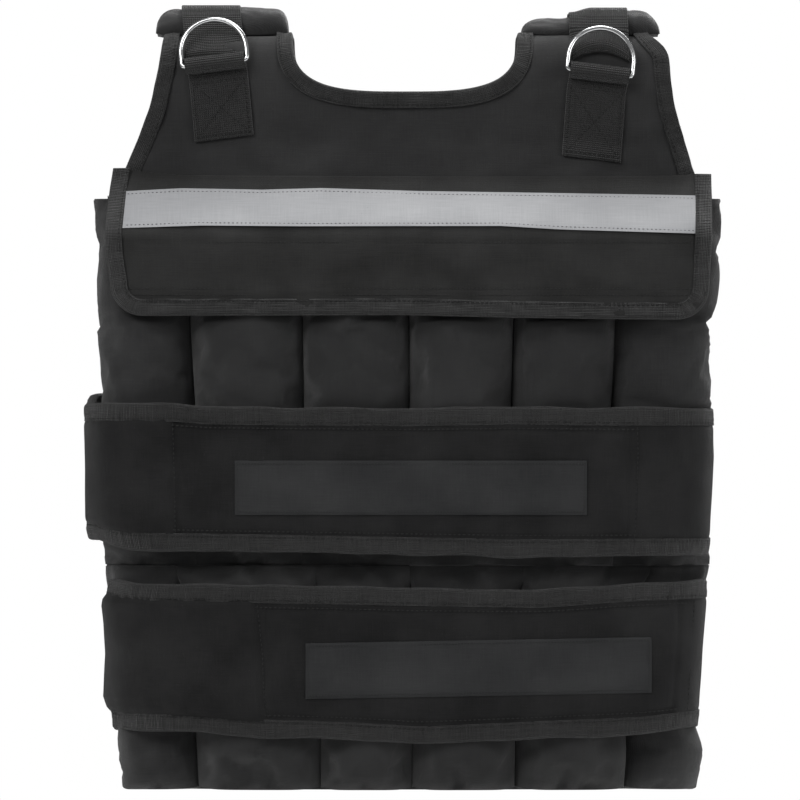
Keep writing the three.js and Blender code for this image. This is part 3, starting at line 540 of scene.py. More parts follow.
# The weight pockets: two rows of upright bags on each panel, sewn down between the bags and filled
# with iron rods. Each row is one cloth, which settles round its filling before it is finished.
BAG_SEAMS = {
    "upper": (-1, -0.712, -0.352, 0.01, 0.364, 0.705, 1),
    "lower": (-1, -0.745, -0.315, 0.021, 0.4, 0.778, 1),
}
BAG_SPAN = {"upper": (114, 364.5), "lower": (364, 517)}
BAG_LIFT = {
    "upper": {114: 3, 150: 22, 170: 25.5, 330: 25.5, 350: 21, 364.5: 13},
    "lower": {364: 13, 376: 20, 392: 25.5, 494: 25.5, 509: 19, 517: 7},
}
BAG_LEFT = {
    114: 208.5, 200: 207, 265: 203.5, 300: 206, 352: 199, 378: 197, 400: 196, 470: 192, 485: 191.5, 517: 188,
}
BAG_RIGHT = {
    114: 212.2, 159: 211.3, 178: 210.7, 201: 206.7, 238: 206, 256: 204.7, 300: 198, 364: 202, 378: 198,
    400: 195, 470: 192, 490: 197.5, 517: 193,
}
BAG_FULLNESS = 26
BAG_GAP = 364
BAG_PLAN = (208, 124)
plan_turn = np.linspace(0, math.pi / 2, 2001)
plan_x, plan_y = np.sin(plan_turn) ** (1 / 3), np.cos(plan_turn) ** (1 / 3)
plan_x, plan_y = plan_x[plan_y > 0.47], plan_y[plan_y > 0.47]
plan_steps = np.hypot(np.diff(plan_x) * BAG_PLAN[0], np.diff(plan_y) * BAG_PLAN[1])
plan_run = np.concatenate([[0], plan_steps.cumsum()])
plan_run /= plan_run[-1]
corner_run = float(np.interp(0.68, plan_x, plan_run))


def fill_with_weights(piece, held, push, slack, reach):
    """The cloth gives under its filling: pressure from inside, with its seams held."""
    group = piece.vertex_groups.new(name="sewn")
    group.add(np.flatnonzero(held).tolist(), 1.0, "ADD")
    start = np.empty(len(piece.data.vertices) * 3, np.float32)
    piece.data.vertices.foreach_get("co", start)
    cloth = piece.modifiers.new("cloth", "CLOTH")
    rules = cloth.settings
    rules.quality = 5
    rules.mass = 0.25
    rules.tension_stiffness = 12
    rules.compression_stiffness = 8
    rules.bending_stiffness = 0.4
    rules.vertex_group_mass = "sewn"
    rules.shrink_min = -slack
    rules.use_pressure = True
    rules.uniform_pressure_force = push
    rules.effector_weights.gravity = 0
    cloth.collision_settings.use_collision = False
    scene = bpy.context.scene
    for step in range(1, 17):
        scene.frame_set(step)
    seen = piece.evaluated_get(bpy.context.evaluated_depsgraph_get())
    settled = np.empty_like(start)
    seen.data.vertices.foreach_get("co", settled)
    piece.modifiers.remove(cloth)
    scene.frame_set(1)
    moved = (settled - start).reshape(-1, 3)
    far = np.linalg.norm(moved, axis=1, keepdims=True)
    moved *= reach / np.maximum(far, reach)
    piece.data.vertices.foreach_set("co", (start.reshape(-1, 3) + moved).ravel())
    piece.data.update()


for label, side in (("front", FRONT), ("back", BACK)):
    for level in ("upper", "lower"):
        seams = np.array(BAG_SEAMS[level])
        first, last = BAG_SPAN[level]
        bays = [a + (b - a) * threads(1, 0.052, 0.03)[:-1] for a, b in zip(seams, seams[1:])]
        share = np.concatenate(bays + [[1]])[None, :]
        place = np.clip(np.searchsorted(seams, share, side="right") - 1, 0, 5)
        bag = (share - seams[place]) / (seams[place + 1] - seams[place])
        bottom = hem_drop(share, 20) if level == "lower" else 0 * share + last
        down = threads(1, 5 / (last - first), 3 / (last - first))[:, None]
        if level == "lower":
            bottom = bottom - 2.2 * np.abs(2 * bag - 1) ** 6
        drop = first + (bottom - first) * down
        seam_depth = (1 - np.abs(2 * bag - 1) ** 2.5).clip(0) ** (1 / 2.5)
        waist = eased(np.abs(drop - BAG_GAP), 6, 30) + eased(np.abs(share), 0.9, 1)
        full = 1 - (1 - seam_depth) * np.clip(0.06 + waist, 0, 1)
        lift = eased_table(drop, BAG_LIFT[level]) / BAG_FULLNESS
        wide = np.where(share < 0, eased_table(drop, BAG_LEFT), eased_table(drop, BAG_RIGHT))
        wide = wide * 1.02 + 4.5
        run = np.interp(np.abs(share), [0, 0.708, 1], [0, corner_run, 1])
        deep = np.interp(drop, profile_drop, profile_depth) + BAG_FULLNESS
        across = np.sign(share) * np.interp(run, plan_run, plan_x) * wide
        envelope = together(across, side * np.interp(run, plan_run, plan_y) * deep, -drop)
        base = off_shell(share * panel_edge(drop), side * girth_at(drop), 0.6)
        filled = together(full, full * lift, 0)
        envelope = base + (envelope - base) * np.clip(0.05 + 0.97 * filled, 0, 1)
        swing = creases(drop.shape, 4.5, 30, 8, 1.3, 41 + side + len(level)) * 0.7
        swing = swing + creases(drop.shape, 4.5, 9, 5, 0.5, 45 + side + len(level)) * 0.3
        calm = 1 - 0.75 * eased(np.abs(share), 0.72, 0.9)
        sized = base + (envelope - base) * (1 + 0.045 * swing * full * calm)[..., None]
        sized[..., 0] += calm * creases(drop.shape, 4.5, 60, 14, 1.57, 49 + side) * 0.9
        drape = creases(drop.shape, 4.5, 46, 8, 0.22, 47 + side)
        drape = drape * (1 - eased(np.abs(drop - BAG_GAP - 2), 14, 30))
        sized[..., 1] += side * 2.2 * drape * (1 - eased(np.abs(share), 0.8, 1))
        uv = together(share * 330, drop)
        piece = sew(f"{label}_{level}_pockets", sized, base, uv, shell_nylon, "shell_nylon")
        held = np.ones(drop.shape, bool)
        held[3:-3] = seam_depth < 0.5
        held = np.concatenate([held.ravel(), np.ones(drop.size, bool)])
        fill_with_weights(piece, held, push=3.0, slack=0.05, reach=0.006)
        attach(piece, "vest")
        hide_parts(*[f"{label}_{level}_pocket_{i}" for i in range(1, 7)])

# The storm flap: two layers of nylon, sewn on above the pockets and hanging over their mouths, with
# three rows of stitches across it. The front one carries a reflective tape above them.
# The flap's nylon is the shell's nylon painted darker. This is painted shade that offsets the extra light
# the flap catches where it leans out and up over the pockets.
flap_finish = dict(roughness=0.66, sheen=0.16, shine=0.26, **NYLON)
flap_nylon_painted_shade = cloth_finish("flap_nylon_painted_shade", (0.009, 0.009, 0.0088), (0.0185, 0.0185, 0.0178), **flap_finish)
FLAP_BOTTOM = 193
FLAP_CORNER = 21
FLAP_TOPS = {-200: 92.5, -178: 95.5, -150: 98, 0: 99, 170: 98.5, 198: 97, 210: 96.6}
FLAP_LEFT = {92: 198, 113: 200.5, 150: 203, 170: 202, 193: 199}
FLAP_RIGHT = {92: 208.5, 118: 208.5, 150: 207.5, 193: 205.5}
FLAP_LOWER = {-200: 0, -100: -0.3, 0: -0.6, 70: 1.2, 140: 2.2, 205: 2.6}
FLAP_HALF_WIDTH = 202
FLAP_SPAN = (95, 193)
FLAP_THICKNESS = 2.6
FLAP_REACH = 31.2
FLAP_SEAMS = (144.5, 176, 180.5)
FLAP_TUCKS = ((-182, 150, 16, 5, 70, 0.9), (150, 172, 30, 6, 12, 0.8), (-60, 176, 34, 5, -6, 0.7))


def flap_x(share, drop):
    left, right = (table_at(drop, table) for table in (FLAP_LEFT, FLAP_RIGHT))
    return np.where(share < 0, share * left, share * right)


def flap_drop(x, down, share):
    """How far down a point of the flap lies: down runs from 0 at its seam to 1 at its lower edge."""
    start = 1 - FLAP_CORNER / FLAP_HALF_WIDTH
    t = np.clip((np.abs(share) - start) / (1 - start), 0, 1)
    low = FLAP_BOTTOM + table_at(x, FLAP_LOWER)
    low = low - FLAP_CORNER * (1 - np.sqrt(1 - t * t))
    high = table_at(x, FLAP_TOPS)
    return high + (low - high) * down


def flap_point(side, x, drop, height):
    """A point off the flap's inner face: on the panel at its seam, then out over the bags."""
    sewn = shell(x, girth_at(drop))[..., 1] + 1.8
    out = np.interp(drop, profile_drop, profile_depth) + FLAP_REACH
    over = out * (1 - np.clip(np.abs(x) / 224, 0, 0.999) ** 6) ** (1 / 6)
    climb = eased(drop, 94, 142)
    y = sewn + (over - sewn) * climb + height
    return together(x, side * y, -drop)


def flap_folds(shape, x, drop, seed):
    loose = eased(drop, 100, 150)
    folds = 0.35 * creases(shape, 2.2, 30, 8, 0.12, 51 + seed) * (0.4 + loose)
    folds = folds + 0.9 * loose * np.cos(x / 68 * 2 * math.pi - 0.3) * eased(drop, 150, 190)
    return folds + tucks(x, drop, FLAP_TUCKS)


for label, side in (("front", FRONT), ("back", BACK)):
    share = threads(2, 0.013, 0.012)[None, :] - 1
    down = threads(1, 0.02, 0.02)[:, None]
    x = flap_x(share, FLAP_SPAN[0] + (FLAP_SPAN[1] - FLAP_SPAN[0]) * down)
    drop = flap_drop(x, down, share)
    folds = flap_folds(x.shape, x, drop, side)
    away = np.minimum((1 - np.abs(share)) * 200, np.minimum(down, 1 - down) * 100)
    half = rounded(away, FLAP_THICKNESS) * (0.3 + 0.7 * eased(down, 0, 0.12))
    lines = sum(np.exp(-(((drop - line) / 0.9) ** 2)) for line in FLAP_SEAMS)
    lie = 1.3 - 0.7 * (1 - eased(down, 0, 0.12)) + folds
    face = flap_point(side, x, drop, lie + half - 0.35 * lines)
    back = flap_point(side, x, drop, lie - half)
    uv = together(x, drop)
    piece = sew(f"{label}_storm_flap", face, back, uv, flap_nylon_painted_shade, "shell_nylon")
    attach(piece, "vest")
    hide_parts(f"{label}_flap")
    across = np.linspace(-0.94, 0.94, 240)
    seam_rows = []
    for line in FLAP_SEAMS:
        seam_x = flap_x(across, line)
        nearest = np.argmin(np.abs(drop[:, 0] - line))
        lie = np.interp(seam_x, x[0], folds[nearest])
        seam_rows.append(flap_point(side, seam_x, line, 2.5 + lie))
    stitch(f"{label}_flap_seams", seam_rows, Thread=0.0005, Length=0.0022, Pitch=0.0028)

reflective_film = cloth_finish(
    "reflective_film", (0.345, 0.35, 0.365), (0.41, 0.415, 0.43), 0.0004, 0.3, 0.00003, 0.42, 0.0, shine=0.5
)
TAPE_TOP = {-190: 108.8, -153: 107, -98: 108.1, -57: 107, 10: 109.1, 197: 111.8}
TAPE_BOTTOM = {-192: 134.6, -139: 133, -71: 133.5, 65: 133.3, 105: 135.7, 198: 138.4}
share = threads(1, 0.0055, 0.002)[None, :]
down = threads(1, 0.1, 0.04)[:, None]
x = -190.5 - 1.8 * down + (389 + 2.5 * down) * share
high = table_at(x, TAPE_TOP)
low = table_at(x, TAPE_BOTTOM)
drop = high + (low - high) * down
folds = 0.12 * creases(x.shape, 2.2, 8, 8, 0, 57)
face, back = (flap_point(FRONT, x, drop, 3.1 + folds + h) for h in (0.7, -0.2))
uv = together(x, drop)
piece = sew("front_reflective_tape", face, back, uv, reflective_film, "reflective")
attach(piece, "vest")
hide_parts("reflective_tape")
seam_rows = []
seam_x = np.linspace(-189, 196, 240)
for inset, table in ((2.0, TAPE_TOP), (-2.0, TAPE_BOTTOM)):
    seam_rows.append(flap_point(FRONT, seam_x, table_at(seam_x, table) + inset, 3.85))
sizes = dict(Thread=0.00065, Length=0.0016, Pitch=0.0029)
stitch("reflective_tape_stitches", seam_rows, thread_grey, "reflective", **sizes)

# The binding: a ribbed tape folded over the edges of the panels' necks and armholes and round the
# sides and the bottom of each flap, and sewn through near its inner edge.
BINDING_WIDTH = 10
BINDING_TAPE = 1.2
BINDING_SEAM = 8.2
binding_tape = cloth_finish(
    "binding_tape", (0.009, 0.009, 0.009), (0.034, 0.034, 0.034), 0.0011, 1.6, 0.0007, 0.7, 0.2
)


def folded_tape(low, high, width=BINDING_WIDTH):
    """The tape's section as [inwards, height] points round an edge between two heights."""
    under, over = low - SEAT, high + SEAT
    middle, reach = (under + over) / 2, (over - under) / 2
    sections = []
    for r, rim in ((reach + BINDING_TAPE, 0.35), (reach, -0.15)):
        turn = np.linspace(-math.pi / 2, math.pi / 2, 7)
        leg = width * np.array([1, 0.97, 0.82, 0.6, 0.4, 0.2])
        sink = np.array([rim, rim * 0.3, 0, 0, 0, 0]) * BINDING_TAPE
        squash = (SEAT + BINDING_TAPE - (reach + BINDING_TAPE - r)) / r
        below = np.stack([leg, middle - r + sink], -1)
        bend = np.stack([-squash * r * np.cos(turn), middle + r * np.sin(turn)], -1)
        sections.append(np.concatenate([below, bend, (below * [1, -1] + [0, 2 * middle])[::-1]]))
    return sections


def run_along(points):
    """How far along a line of points each of them lies."""
    return np.concatenate([[0], np.hypot(*np.diff(points, axis=0).T).cumsum()])


def even_line(spots, pitch, smooth=2):
    """Evenly spaced spots on a line of [x, down] spots, and the direction to their left."""
    spots = np.array(spots, float)
    run = run_along(spots)
    at = np.linspace(0, run[-1], max(int(run[-1] / pitch), 2) + 1)
    even = np.stack([np.interp(at, run, spots[:, k]) for k in (0, 1)], -1)
    ahead = np.pad(np.gradient(even, axis=0), ((smooth + 1, smooth + 1), (0, 0)), "edge")
    kernel = np.hanning(2 * smooth + 5)[1:-1]
    ahead = np.stack([np.convolve(ahead[:, k], kernel / kernel.sum(), "valid") for k in (0, 1)], -1)
    ahead = ahead / np.linalg.norm(ahead, axis=1, keepdims=True)
    return at, even, np.stack([ahead[:, 1], -ahead[:, 0]], -1)


def bind_edge(name, spots, surface, low, high, replaced):
    at, even, inwards = even_line(spots, 1.5)
    for end in (0, -1):
        inwards[end] = (np.sign(inwards[end][0]), 0)
    grids = []
    for section, pucker in zip(folded_tape(low, high), (1, 0)):
        a, h = section[None, :, 0], section[None, :, 1]
        gathers = creases((len(at), len(section)), 1.5, 1.2, 2.4, 0, len(name)) * 0.3
        gathers = gathers + 0.4 * np.cos(at[:, None] / 3.1 * 2 * math.pi) * np.exp(-(((a - 8) / 2) ** 2))
        sunk = 0.35 * np.exp(-(((a - BINDING_SEAM) / 0.9) ** 2))
        h = h + pucker * (gathers - sunk) * np.sign(h - (low + high) / 2)
        grids.append(surface(even[:, :1] + a * inwards[:, :1], even[:, 1:] + a * inwards[:, 1:], h))
    uv = together(at[:, None], run_along(folded_tape(low, high)[0])[None, :])
    piece = sew(name, *grids, uv, binding_tape, "binding")
    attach(piece, "vest")
    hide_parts(replaced)
    heights = (high + SEAT + BINDING_TAPE - 0.15, low - SEAT - BINDING_TAPE + 0.15)
    lines = [surface(*(even + inwards * BINDING_SEAM).T, height)[1:-1] for height in heights]
    stitch(f"{name}_stitches", lines)


def on_panel(side, x, girth, height):
    return off_shell(x, side * girth, height)


binding_start = PAD_LENGTH / 2 - 6
for label, side in (("front", FRONT), ("back", BACK)):
    panel = partial(on_panel, side)

    turn = np.linspace(0, math.pi / 2, 40)
    neck = [(NECK_HALF_WIDTH * math.cos(t) ** (2 / 3.2), NECK_DROP * math.sin(t) ** (2 / 3.2)) for t in turn]
    right = [(x, float(girth_at(drop))) for x, drop in neck if girth_at(drop) > binding_start]
    right = [(float(neck_x(drop_at(binding_start))), binding_start)] + right
    spots = right + [(-x, girth) for x, girth in right[-2::-1]]
    bind_edge(f"{label}_neck_tape", spots, panel, -PANEL_THICKNESS - SEAT, 0, f"{label}_neck_binding")
    for hand, sign in (("left", -1), ("right", 1)):
        girths = np.linspace(binding_start, girth_at(103), 40)
        spots = [(sign * float(armhole_x(drop_at(g), sign)), g) for g in girths]
        spots = spots if sign < 0 else spots[::-1]
        name, replaced = f"{label}_armhole_tape_{hand}", f"{label}_armhole_binding_{hand}"
        bind_edge(name, spots, panel, -PANEL_THICKNESS - 2 * SEAT, 0, replaced)
    flap = partial(flap_point, side)
    corner = -1 + 0.105 * (1 - np.cos(np.linspace(0, math.pi / 2, 14)))[1:]
    shares = np.concatenate([-np.ones(30), corner])
    downs = np.concatenate([np.linspace(0, 1, 30), np.ones(13)])
    shares = np.concatenate([shares, np.linspace(-0.89, 0.89, 90), -shares[::-1]])
    downs = np.concatenate([downs, np.ones(90), downs[::-1]])
    spot_x = flap_x(shares, FLAP_SPAN[0] + (FLAP_SPAN[1] - FLAP_SPAN[0]) * downs)
    spots = np.stack([spot_x, flap_drop(spot_x, downs, shares)], -1)
    bind_edge(f"{label}_flap_tape", spots, flap, -SEAT, FLAP_THICKNESS + SEAT, f"{label}_flap_binding")

# The waist belts: foam between two layers of nylon, closed round the vest over the filled pockets and
# lapped in front, where a stitched field carries a blank label; the same tape binds both edges.
BELTS = {
    "upper": dict(
        power=6.95,
        depth=132.3,
        left={254: 219.2, 300: 218, 340: 217.5, 358: 213.5},
        right={254: 210.5, 290: 211.5, 340: 209, 358: 207},
        top={
            -217: 254, -184: 253.6, -153: 254.3, -139: 256, -71: 256.8, 3: 257.2, 78: 256, 140: 256.9,
            209: 256.9,
        },
        bottom={-213: 347, -197: 353, -190: 353.6, -72: 355.4, 78: 358.3, 205: 357.7},
        back=(247, 350, 255, 355),
        box_half=(209.5, 206.0),
        field=(-151, 154, 12),
        lap=(-153, -152, 1.2),
        label=(4, 239, 37, 37, 0),
    ),
    "lower": dict(
        power=6.7,
        depth=132.3,
        left={372: 202, 381: 203.5, 392: 205.8, 425: 203, 454: 204.3, 466: 200, 480: 199},
        right={372: 206.3, 392: 206, 430: 203.5, 464: 201, 480: 199.5},
        top={-200: 372.6, -183: 375.4, -169: 376, -58: 378, 92: 380.5, 109: 379.4, 154: 376, 203: 374.3},
        bottom={
            -192: 476, -141: 477.2, -113: 480, -58: 481.4, -15: 483.5, 9.5: 485.5, 30: 484.5, 92: 481.6,
            166: 478.7, 197: 475.3,
        },
        back=(375, 478, 375, 478),
        box_half=(202.0, 201.0),
        field=(-99, 192, 12),
        lap=(-107, -101, 2.4),
        label=(50, 235, 38, 37, 0.018),
    ),
}
BELT_TUCKS = (
    (-120, 60, 20, 5, 75, 0.8),
    (-170, 88, 12, 4, 60, -1.0),
    (188, 30, 18, 4, 80, 0.8),
    (100, 84, 24, 4, -8, 0.7),
    (-60, 86, 18, 4, 14, 0.7),
    (176, 90, 16, 3, -14, -0.8),
)
BELT_HALF_WIDTH = 210
BELT_FOLD = 3.6
BELT_INNER = -4.8
BELT_SEAM = 8.7
belt_finish = dict(pitch=0.00045, slub=0.8, relief=0.00018, roughness=0.66, sheen=0.1, shine=0.22)
belt_nylon = cloth_finish("belt_nylon", (0.0055, 0.0055, 0.0057), (0.0125, 0.0125, 0.013), **belt_finish)
label_cloth = cloth_finish(
    "label_cloth", (0.010, 0.0108, 0.0118), (0.019, 0.0198, 0.0212), 0.0003, 0.6, 0.00008, 0.55, 0.2
)


def belt_plan(belt, pitch=2.2):
    """Spots round a belt's outer face, half as many behind, as shares of its half width and depth."""
    angle = np.linspace(0, 2 * math.pi, 7200, endpoint=False)
    c, s = np.cos(angle), np.sin(angle)
    x, y = (np.sign(v) * np.abs(v) ** (2 / belt["power"]) for v in (c, s))
    run = np.hypot(np.diff(x, append=x[0]) * BELT_HALF_WIDTH, np.diff(y, append=y[0]) * belt["depth"])
    paced = np.concatenate([[0], (run * np.where(y > 0, 0.5, 1)).cumsum()])
    run = np.concatenate([[0], run.cumsum()])
    at = np.interp(np.linspace(0, paced[-1], int(paced[-1] / pitch), endpoint=False), paced, run)
    x, y = (np.interp(at, run, np.append(v, v[0])) for v in (x, y))
    ahead_x, ahead_y = (np.roll(v, -2) - np.roll(v, 2) for v in (x, y))
    ahead = np.stack([ahead_x * BELT_HALF_WIDTH, ahead_y * belt["depth"]], -1)
    ahead /= np.linalg.norm(ahead, axis=1, keepdims=True)
    return np.append(at, run[-1]), x, y, np.stack([ahead[:, 1], -ahead[:, 0]], -1)


def belt_edges(belt, plan_x, plan_y):
    behind = eased(plan_y, -0.4, 0.8)
    x = plan_x * np.where(plan_x < 0, belt["left"][min(belt["left"])], belt["right"][min(belt["right"])])
    left_top, left_bottom, right_top, right_bottom = belt["back"]
    lean = 0.5 + 0.5 * plan_x
    edges = []
    for edge, left, right in (("top", left_top, right_top), ("bottom", left_bottom, right_bottom)):
        front = table_at(x, belt[edge])
        front = np.concatenate([front[-6:], front, front[:6]])
        front = np.convolve(front, np.hanning(15)[1:-1] / 7, "valid")
        edges.append(front * (1 - behind) + (left + (right - left) * lean) * behind)
    return edges


def belt_half_width(belt, x, drop):
    return np.where(x < 0, table_at(drop, belt["left"]), table_at(drop, belt["right"]))


def on_belt(belt, plan_x, plan_y, out, drop, height):
    x = plan_x * belt_half_width(belt, plan_x, drop) + out[..., 0] * height
    y = plan_y * belt["depth"] + out[..., 1] * height
    return together(x, y, -drop)


def on_belt_front(belt, plan, x, share_down):
    """A point just off a belt's front, by x and its share of the way down."""
    plan_x, plan_y, *edges = plan
    ahead = plan_y < 0
    order = np.argsort(plan_x[ahead])
    spot_x = np.clip(x / np.where(x < 0, *belt["box_half"]), -1, 1)
    spot_y = -((1 - np.abs(spot_x) ** belt["power"]) ** (1 / belt["power"]))
    high, low = (np.interp(spot_x, plan_x[ahead][order], edge[ahead][order]) for edge in edges)
    drop = high + (low - high) * share_down
    return together(spot_x * belt_half_width(belt, spot_x, drop), spot_y * belt["depth"] - 0.35, -drop)


def label_y(belt, x, drop):
    share = np.clip(np.abs(x) / table_at(drop, belt["left"]), 0, 1)
    return -belt["depth"] * (1 - share ** belt["power"]) ** (1 / belt["power"])


def seam_legs(corners, t):
    """The straight legs of a seam, each as shares across and down."""
    return [(ax + (bx - ax) * t, ad + (bd - ad) * t) for (ax, ad), (bx, bd) in zip(corners, corners[1:])]


for level, belt in BELTS.items():
    at, px, py, out = belt_plan(belt)
    top, bottom = belt_edges(belt, px, py)
    down = threads(1, 0.024, 0.03)[:, None]
    drop = top + 1.6 + (bottom - top - 3.2) * down
    x = px * 212 + 0 * drop
    front = py < 0
    across = np.minimum(drop - top, bottom - drop)
    swell = (1 - np.abs(2 * down - 1) ** 9).clip(0) ** 0.5
    relief = 0.3 * creases(drop.shape, 2.2, 20, 9, 0.4, 61 + len(level) + ord(level[0]))
    gathers = 0.14 * creases(drop.shape, 2.2, 2.6, 9, 0, 64 + ord(level[0]))
    relief = relief + gathers * np.exp(-(((across - 13) / 9) ** 2))
    start, stop, inset = belt["field"]
    lap_high, lap_low, step = belt["lap"]
    slant = lap_low - lap_high
    lap_x = lap_high + slant * (drop - top) / (bottom - top)
    groove = 1.3
    grooves = np.exp(-(((across - inset - 2.5) / groove) ** 2)) * (x > start) * (x < stop)
    for line_x in (start + (drop - top) / (bottom - top) * slant, stop):
        grooves = grooves + np.exp(-(((x - line_x) / groove) ** 2)) * (across > inset)
    lap = step * (1 - eased(x, lap_x - 1.6, lap_x + 0.4)) * eased(py, 0.4, -0.2)
    relief = relief + np.where(front, lap - 1.1 * np.minimum(grooves, 1), 0)
    relief = relief + np.where(front, tucks(x, drop - top, BELT_TUCKS), 0)
    grids = [
        on_belt(belt, px, py, out, drop, -1.1 + 0.3 * swell + (0.9 + relief) * eased(across, 9, 15)),
        on_belt(belt, px, py, out, drop, BELT_INNER - 1.2 * swell),
    ]
    uv = together(at[None, :], np.concatenate([drop, drop[:, :1]], 1))
    piece = sew(f"{level}_waist_belt", *grids, uv, belt_nylon, "belt_nylon", looped=True)
    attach(piece, "vest")
    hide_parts(f"{level}_belt")

    fine_at, fx, fy, fine_out = belt_plan(belt, 2.0)
    edge_top, edge_bottom = belt_edges(belt, fx, fy)
    seam_lines = []
    for edge, line, inward in (("top", edge_top, 1), ("bottom", edge_bottom, -1)):
        grids = []
        for section, pucker in zip(folded_tape(0, BELT_FOLD, 10.5), (1, 0)):
            a, h = section[:, :1], section[:, 1:]
            gathers = creases((len(section), len(fx)), 2.0, 1.6, 2.4, 0, 71 + len(level + edge)) * 0.22
            ribs = 0.36 * np.cos(fine_at[None, :-1] / 4.9 * 2 * math.pi)
            gathers = gathers + ribs * np.exp(-(((a - 8.6) / 2) ** 2))
            gathers = gathers - 0.35 * np.exp(-(((a - BELT_SEAM) / 0.9) ** 2))
            height = h + BELT_INNER + pucker * gathers * np.sign(h - BELT_FOLD / 2)
            wander = 0.35 * creases((1, len(fx)), 2.0, 9, 9, 0, 75 + len(level + edge))
            drop = line[None, :] + inward * (a + SEAT + BINDING_TAPE) + wander * (1 - a / 12)
            grids.append(on_belt(belt, fx, fy, fine_out, drop, height))
        uv = together(fine_at[None, :], run_along(folded_tape(0, BELT_FOLD)[0])[:, None])
        piece = sew(f"{level}_belt_{edge}_tape", *grids, uv, binding_tape, "binding", looped=True)
        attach(piece, "vest")
        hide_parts(f"{level}_belt_{edge}_binding")
        drop = line + inward * (BELT_SEAM + SEAT + BINDING_TAPE)
        seam_lines.append(on_belt(belt, fx, fy, fine_out, drop, 0.25))
    stitch(f"{level}_belt_seams", seam_lines, closed=True)

    front_of_belt = partial(on_belt_front, belt, (px, py, top, bottom))
    box_x = np.linspace(start, stop, 160)
    box_down = np.linspace(0.14, 0.86, 40)
    box = [
        front_of_belt(box_x, 0.145),
        front_of_belt(box_x, 0.855),
        front_of_belt(start + slant * box_down, box_down),
        front_of_belt(stop, box_down),
    ]
    sizes = dict(Thread=0.0008, Length=0.0025, Pitch=0.0032)
    stitch(f"{level}_belt_field_stitches", box, slot="belt_nylon", **sizes)

    centre, width, height, below, slope = belt["label"]
    label_x = centre + threads(width, 2.6, 1)[None, :] - width / 2
    label_down = threads(height, 2.1, 1)[:, None]
    rim = np.minimum(width / 2 - np.abs(label_x - centre), np.minimum(label_down, height - label_down))
    label_folds = creases((len(label_down), label_x.size), 2.4, 12, 5, 0.2, 81)
    inset = 2.2
    raised = 1.3 - 0.45 * np.exp(-(((rim - inset) / 0.8) ** 2)) + 0.12 * label_folds
    raised = np.where(rim < 0.3, 0.7, raised)
    base_drop = table_at(0, belt["top"]) + below - 1.5
    drop = base_drop + label_down - slope * (label_x - centre)
    face, back = (together(label_x, label_y(belt, label_x, drop) - h, -drop) for h in (raised, 0.1))
    uv = together(label_x, label_down)
    piece = sew(f"{level}_blank_label", face, back, uv, label_cloth, "label")
    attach(piece, "vest")
    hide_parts(f"{level}_label")
    legs = seam_legs(((-1, 0), (1, 0), (1, 1), (-1, 1), (-1, 0)), np.linspace(0, 1, 60)[:-1])
    seam_x, seam_down = np.hstack(legs)
    seam_x = centre + seam_x * (width / 2 - inset)
    drop = base_drop + (inset + seam_down * (height - 2 * inset)) - slope * (seam_x - centre)
    outline = together(seam_x, label_y(belt, seam_x, drop) - 1.1, -drop)
    sizes = dict(Thread=0.00045, Length=0.0016, Pitch=0.0021)
    stitch(f"{level}_label_stitches", [outline], closed=True, slot="label", **sizes)

# The shoulder webbing: a coarse woven strap over each roll, its front end sewn down with a box, with
# a folded keeper under it that holds the D-ring's bar. The right strap has a little slack above it.
WEBBING_WIDTH = 40.3
WEBBING_THICKNESS = 1.6
STRAPS = {
    "left": dict(
        places={-19: -133.3, 17: -129.5, 33: -127.2, 72: -123.6},
        end=72.4,
        keeper=-129.5,
        bar=22.7,
        tilt=math.radians(7),
        fold=2,
        front_path=(
            (0, -19.2), (25, -19), (36, -17), (43, -11.5), (47, -5), (50.5, 2), (55, 8), (60.5, 13.5),
            (60.5, 17), (61.8, 20),
        ),
    ),
    "right": dict(
        places={-18: 132.4, 17: 133.5, 31: 132.8, 39: 131, 86: 127.5},
        end=86,
        keeper=132.5,
        bar=28.7,
        tilt=math.radians(-7),
        fold=8,
        front_path=(
            (0, -17.4), (25, -17.4), (36, -15.6), (43, -11), (48, -5), (52, 0.5), (58, 3), (63.5, 6),
            (65.5, 9.5), (64, 12.5), (58, 13.5), (56.5, 16), (59, 21), (62.6, 26),
        ),
    ),
}
BACK_PATH = ((25, -18.2), (36, -16.4), (43, -11.5), (47, -5), (50.5, 2), (56, 10), (61.5, 18), (64.3, 28))
STRAP_LIE = 1.2
KEEPER_WIDTH = 41
KEEPER_HALF = (5.9, 3.9)
RING_WIRE = 3.4
RING_HALF = (48.4 - RING_WIRE) / 2
RING_BEND = 2.6
RING_LEG = 9
RING_LEAN = math.radians(-4.5)
webbing_cloth = cloth_finish(
    "webbing_cloth", (0.008, 0.008, 0.008), (0.03, 0.03, 0.03), 0.00145, 0.35, 0.0014, 0.65, 0.2
)
ring_chrome = bpy.data.materials.new("ring_chrome")
ring_chrome.use_nodes = True
tree = ring_chrome.node_tree
place = node(tree, "ShaderNodeTexCoord").outputs["Object"]
marks = node(tree, "ShaderNodeTexNoise", {"Scale": 240, "Detail": 6, "Vector": place})
polish = node(tree, "ShaderNodeMapRange", {"To Min": 0.1, "To Max": 0.28, "Value": marks.outputs["Fac"]})
plated = feed(tree.nodes["Principled BSDF"], {"Base Color": (0.9, 0.91, 0.92, 1), "Metallic": 1})
feed(plated, {"Roughness": polish.outputs[0]})


def down_panel(strap_path, first, last, middle_x):
    """A strap's way as (depth, drop) spots: over the roll, then down the panel to its end."""
    drops = np.arange(first, last + 2, 4.0)
    lies = np.abs(shell(middle_x, girth_at(drops))[:, 1]) + STRAP_LIE
    return np.concatenate([np.array(strap_path), np.stack([lies, drops], -1)])


def on_strap(strap, across, drop, height):
    """A point on the front of the strap, on the part that is sewn to the panel."""
    x = eased_table(drop, strap["places"], 3) + across
    y = np.abs(shell(x, girth_at(drop))[..., 1]) + STRAP_LIE + height
    return np.stack([x, -y, -(drop - across * math.tan(strap["tilt"]))], -1)


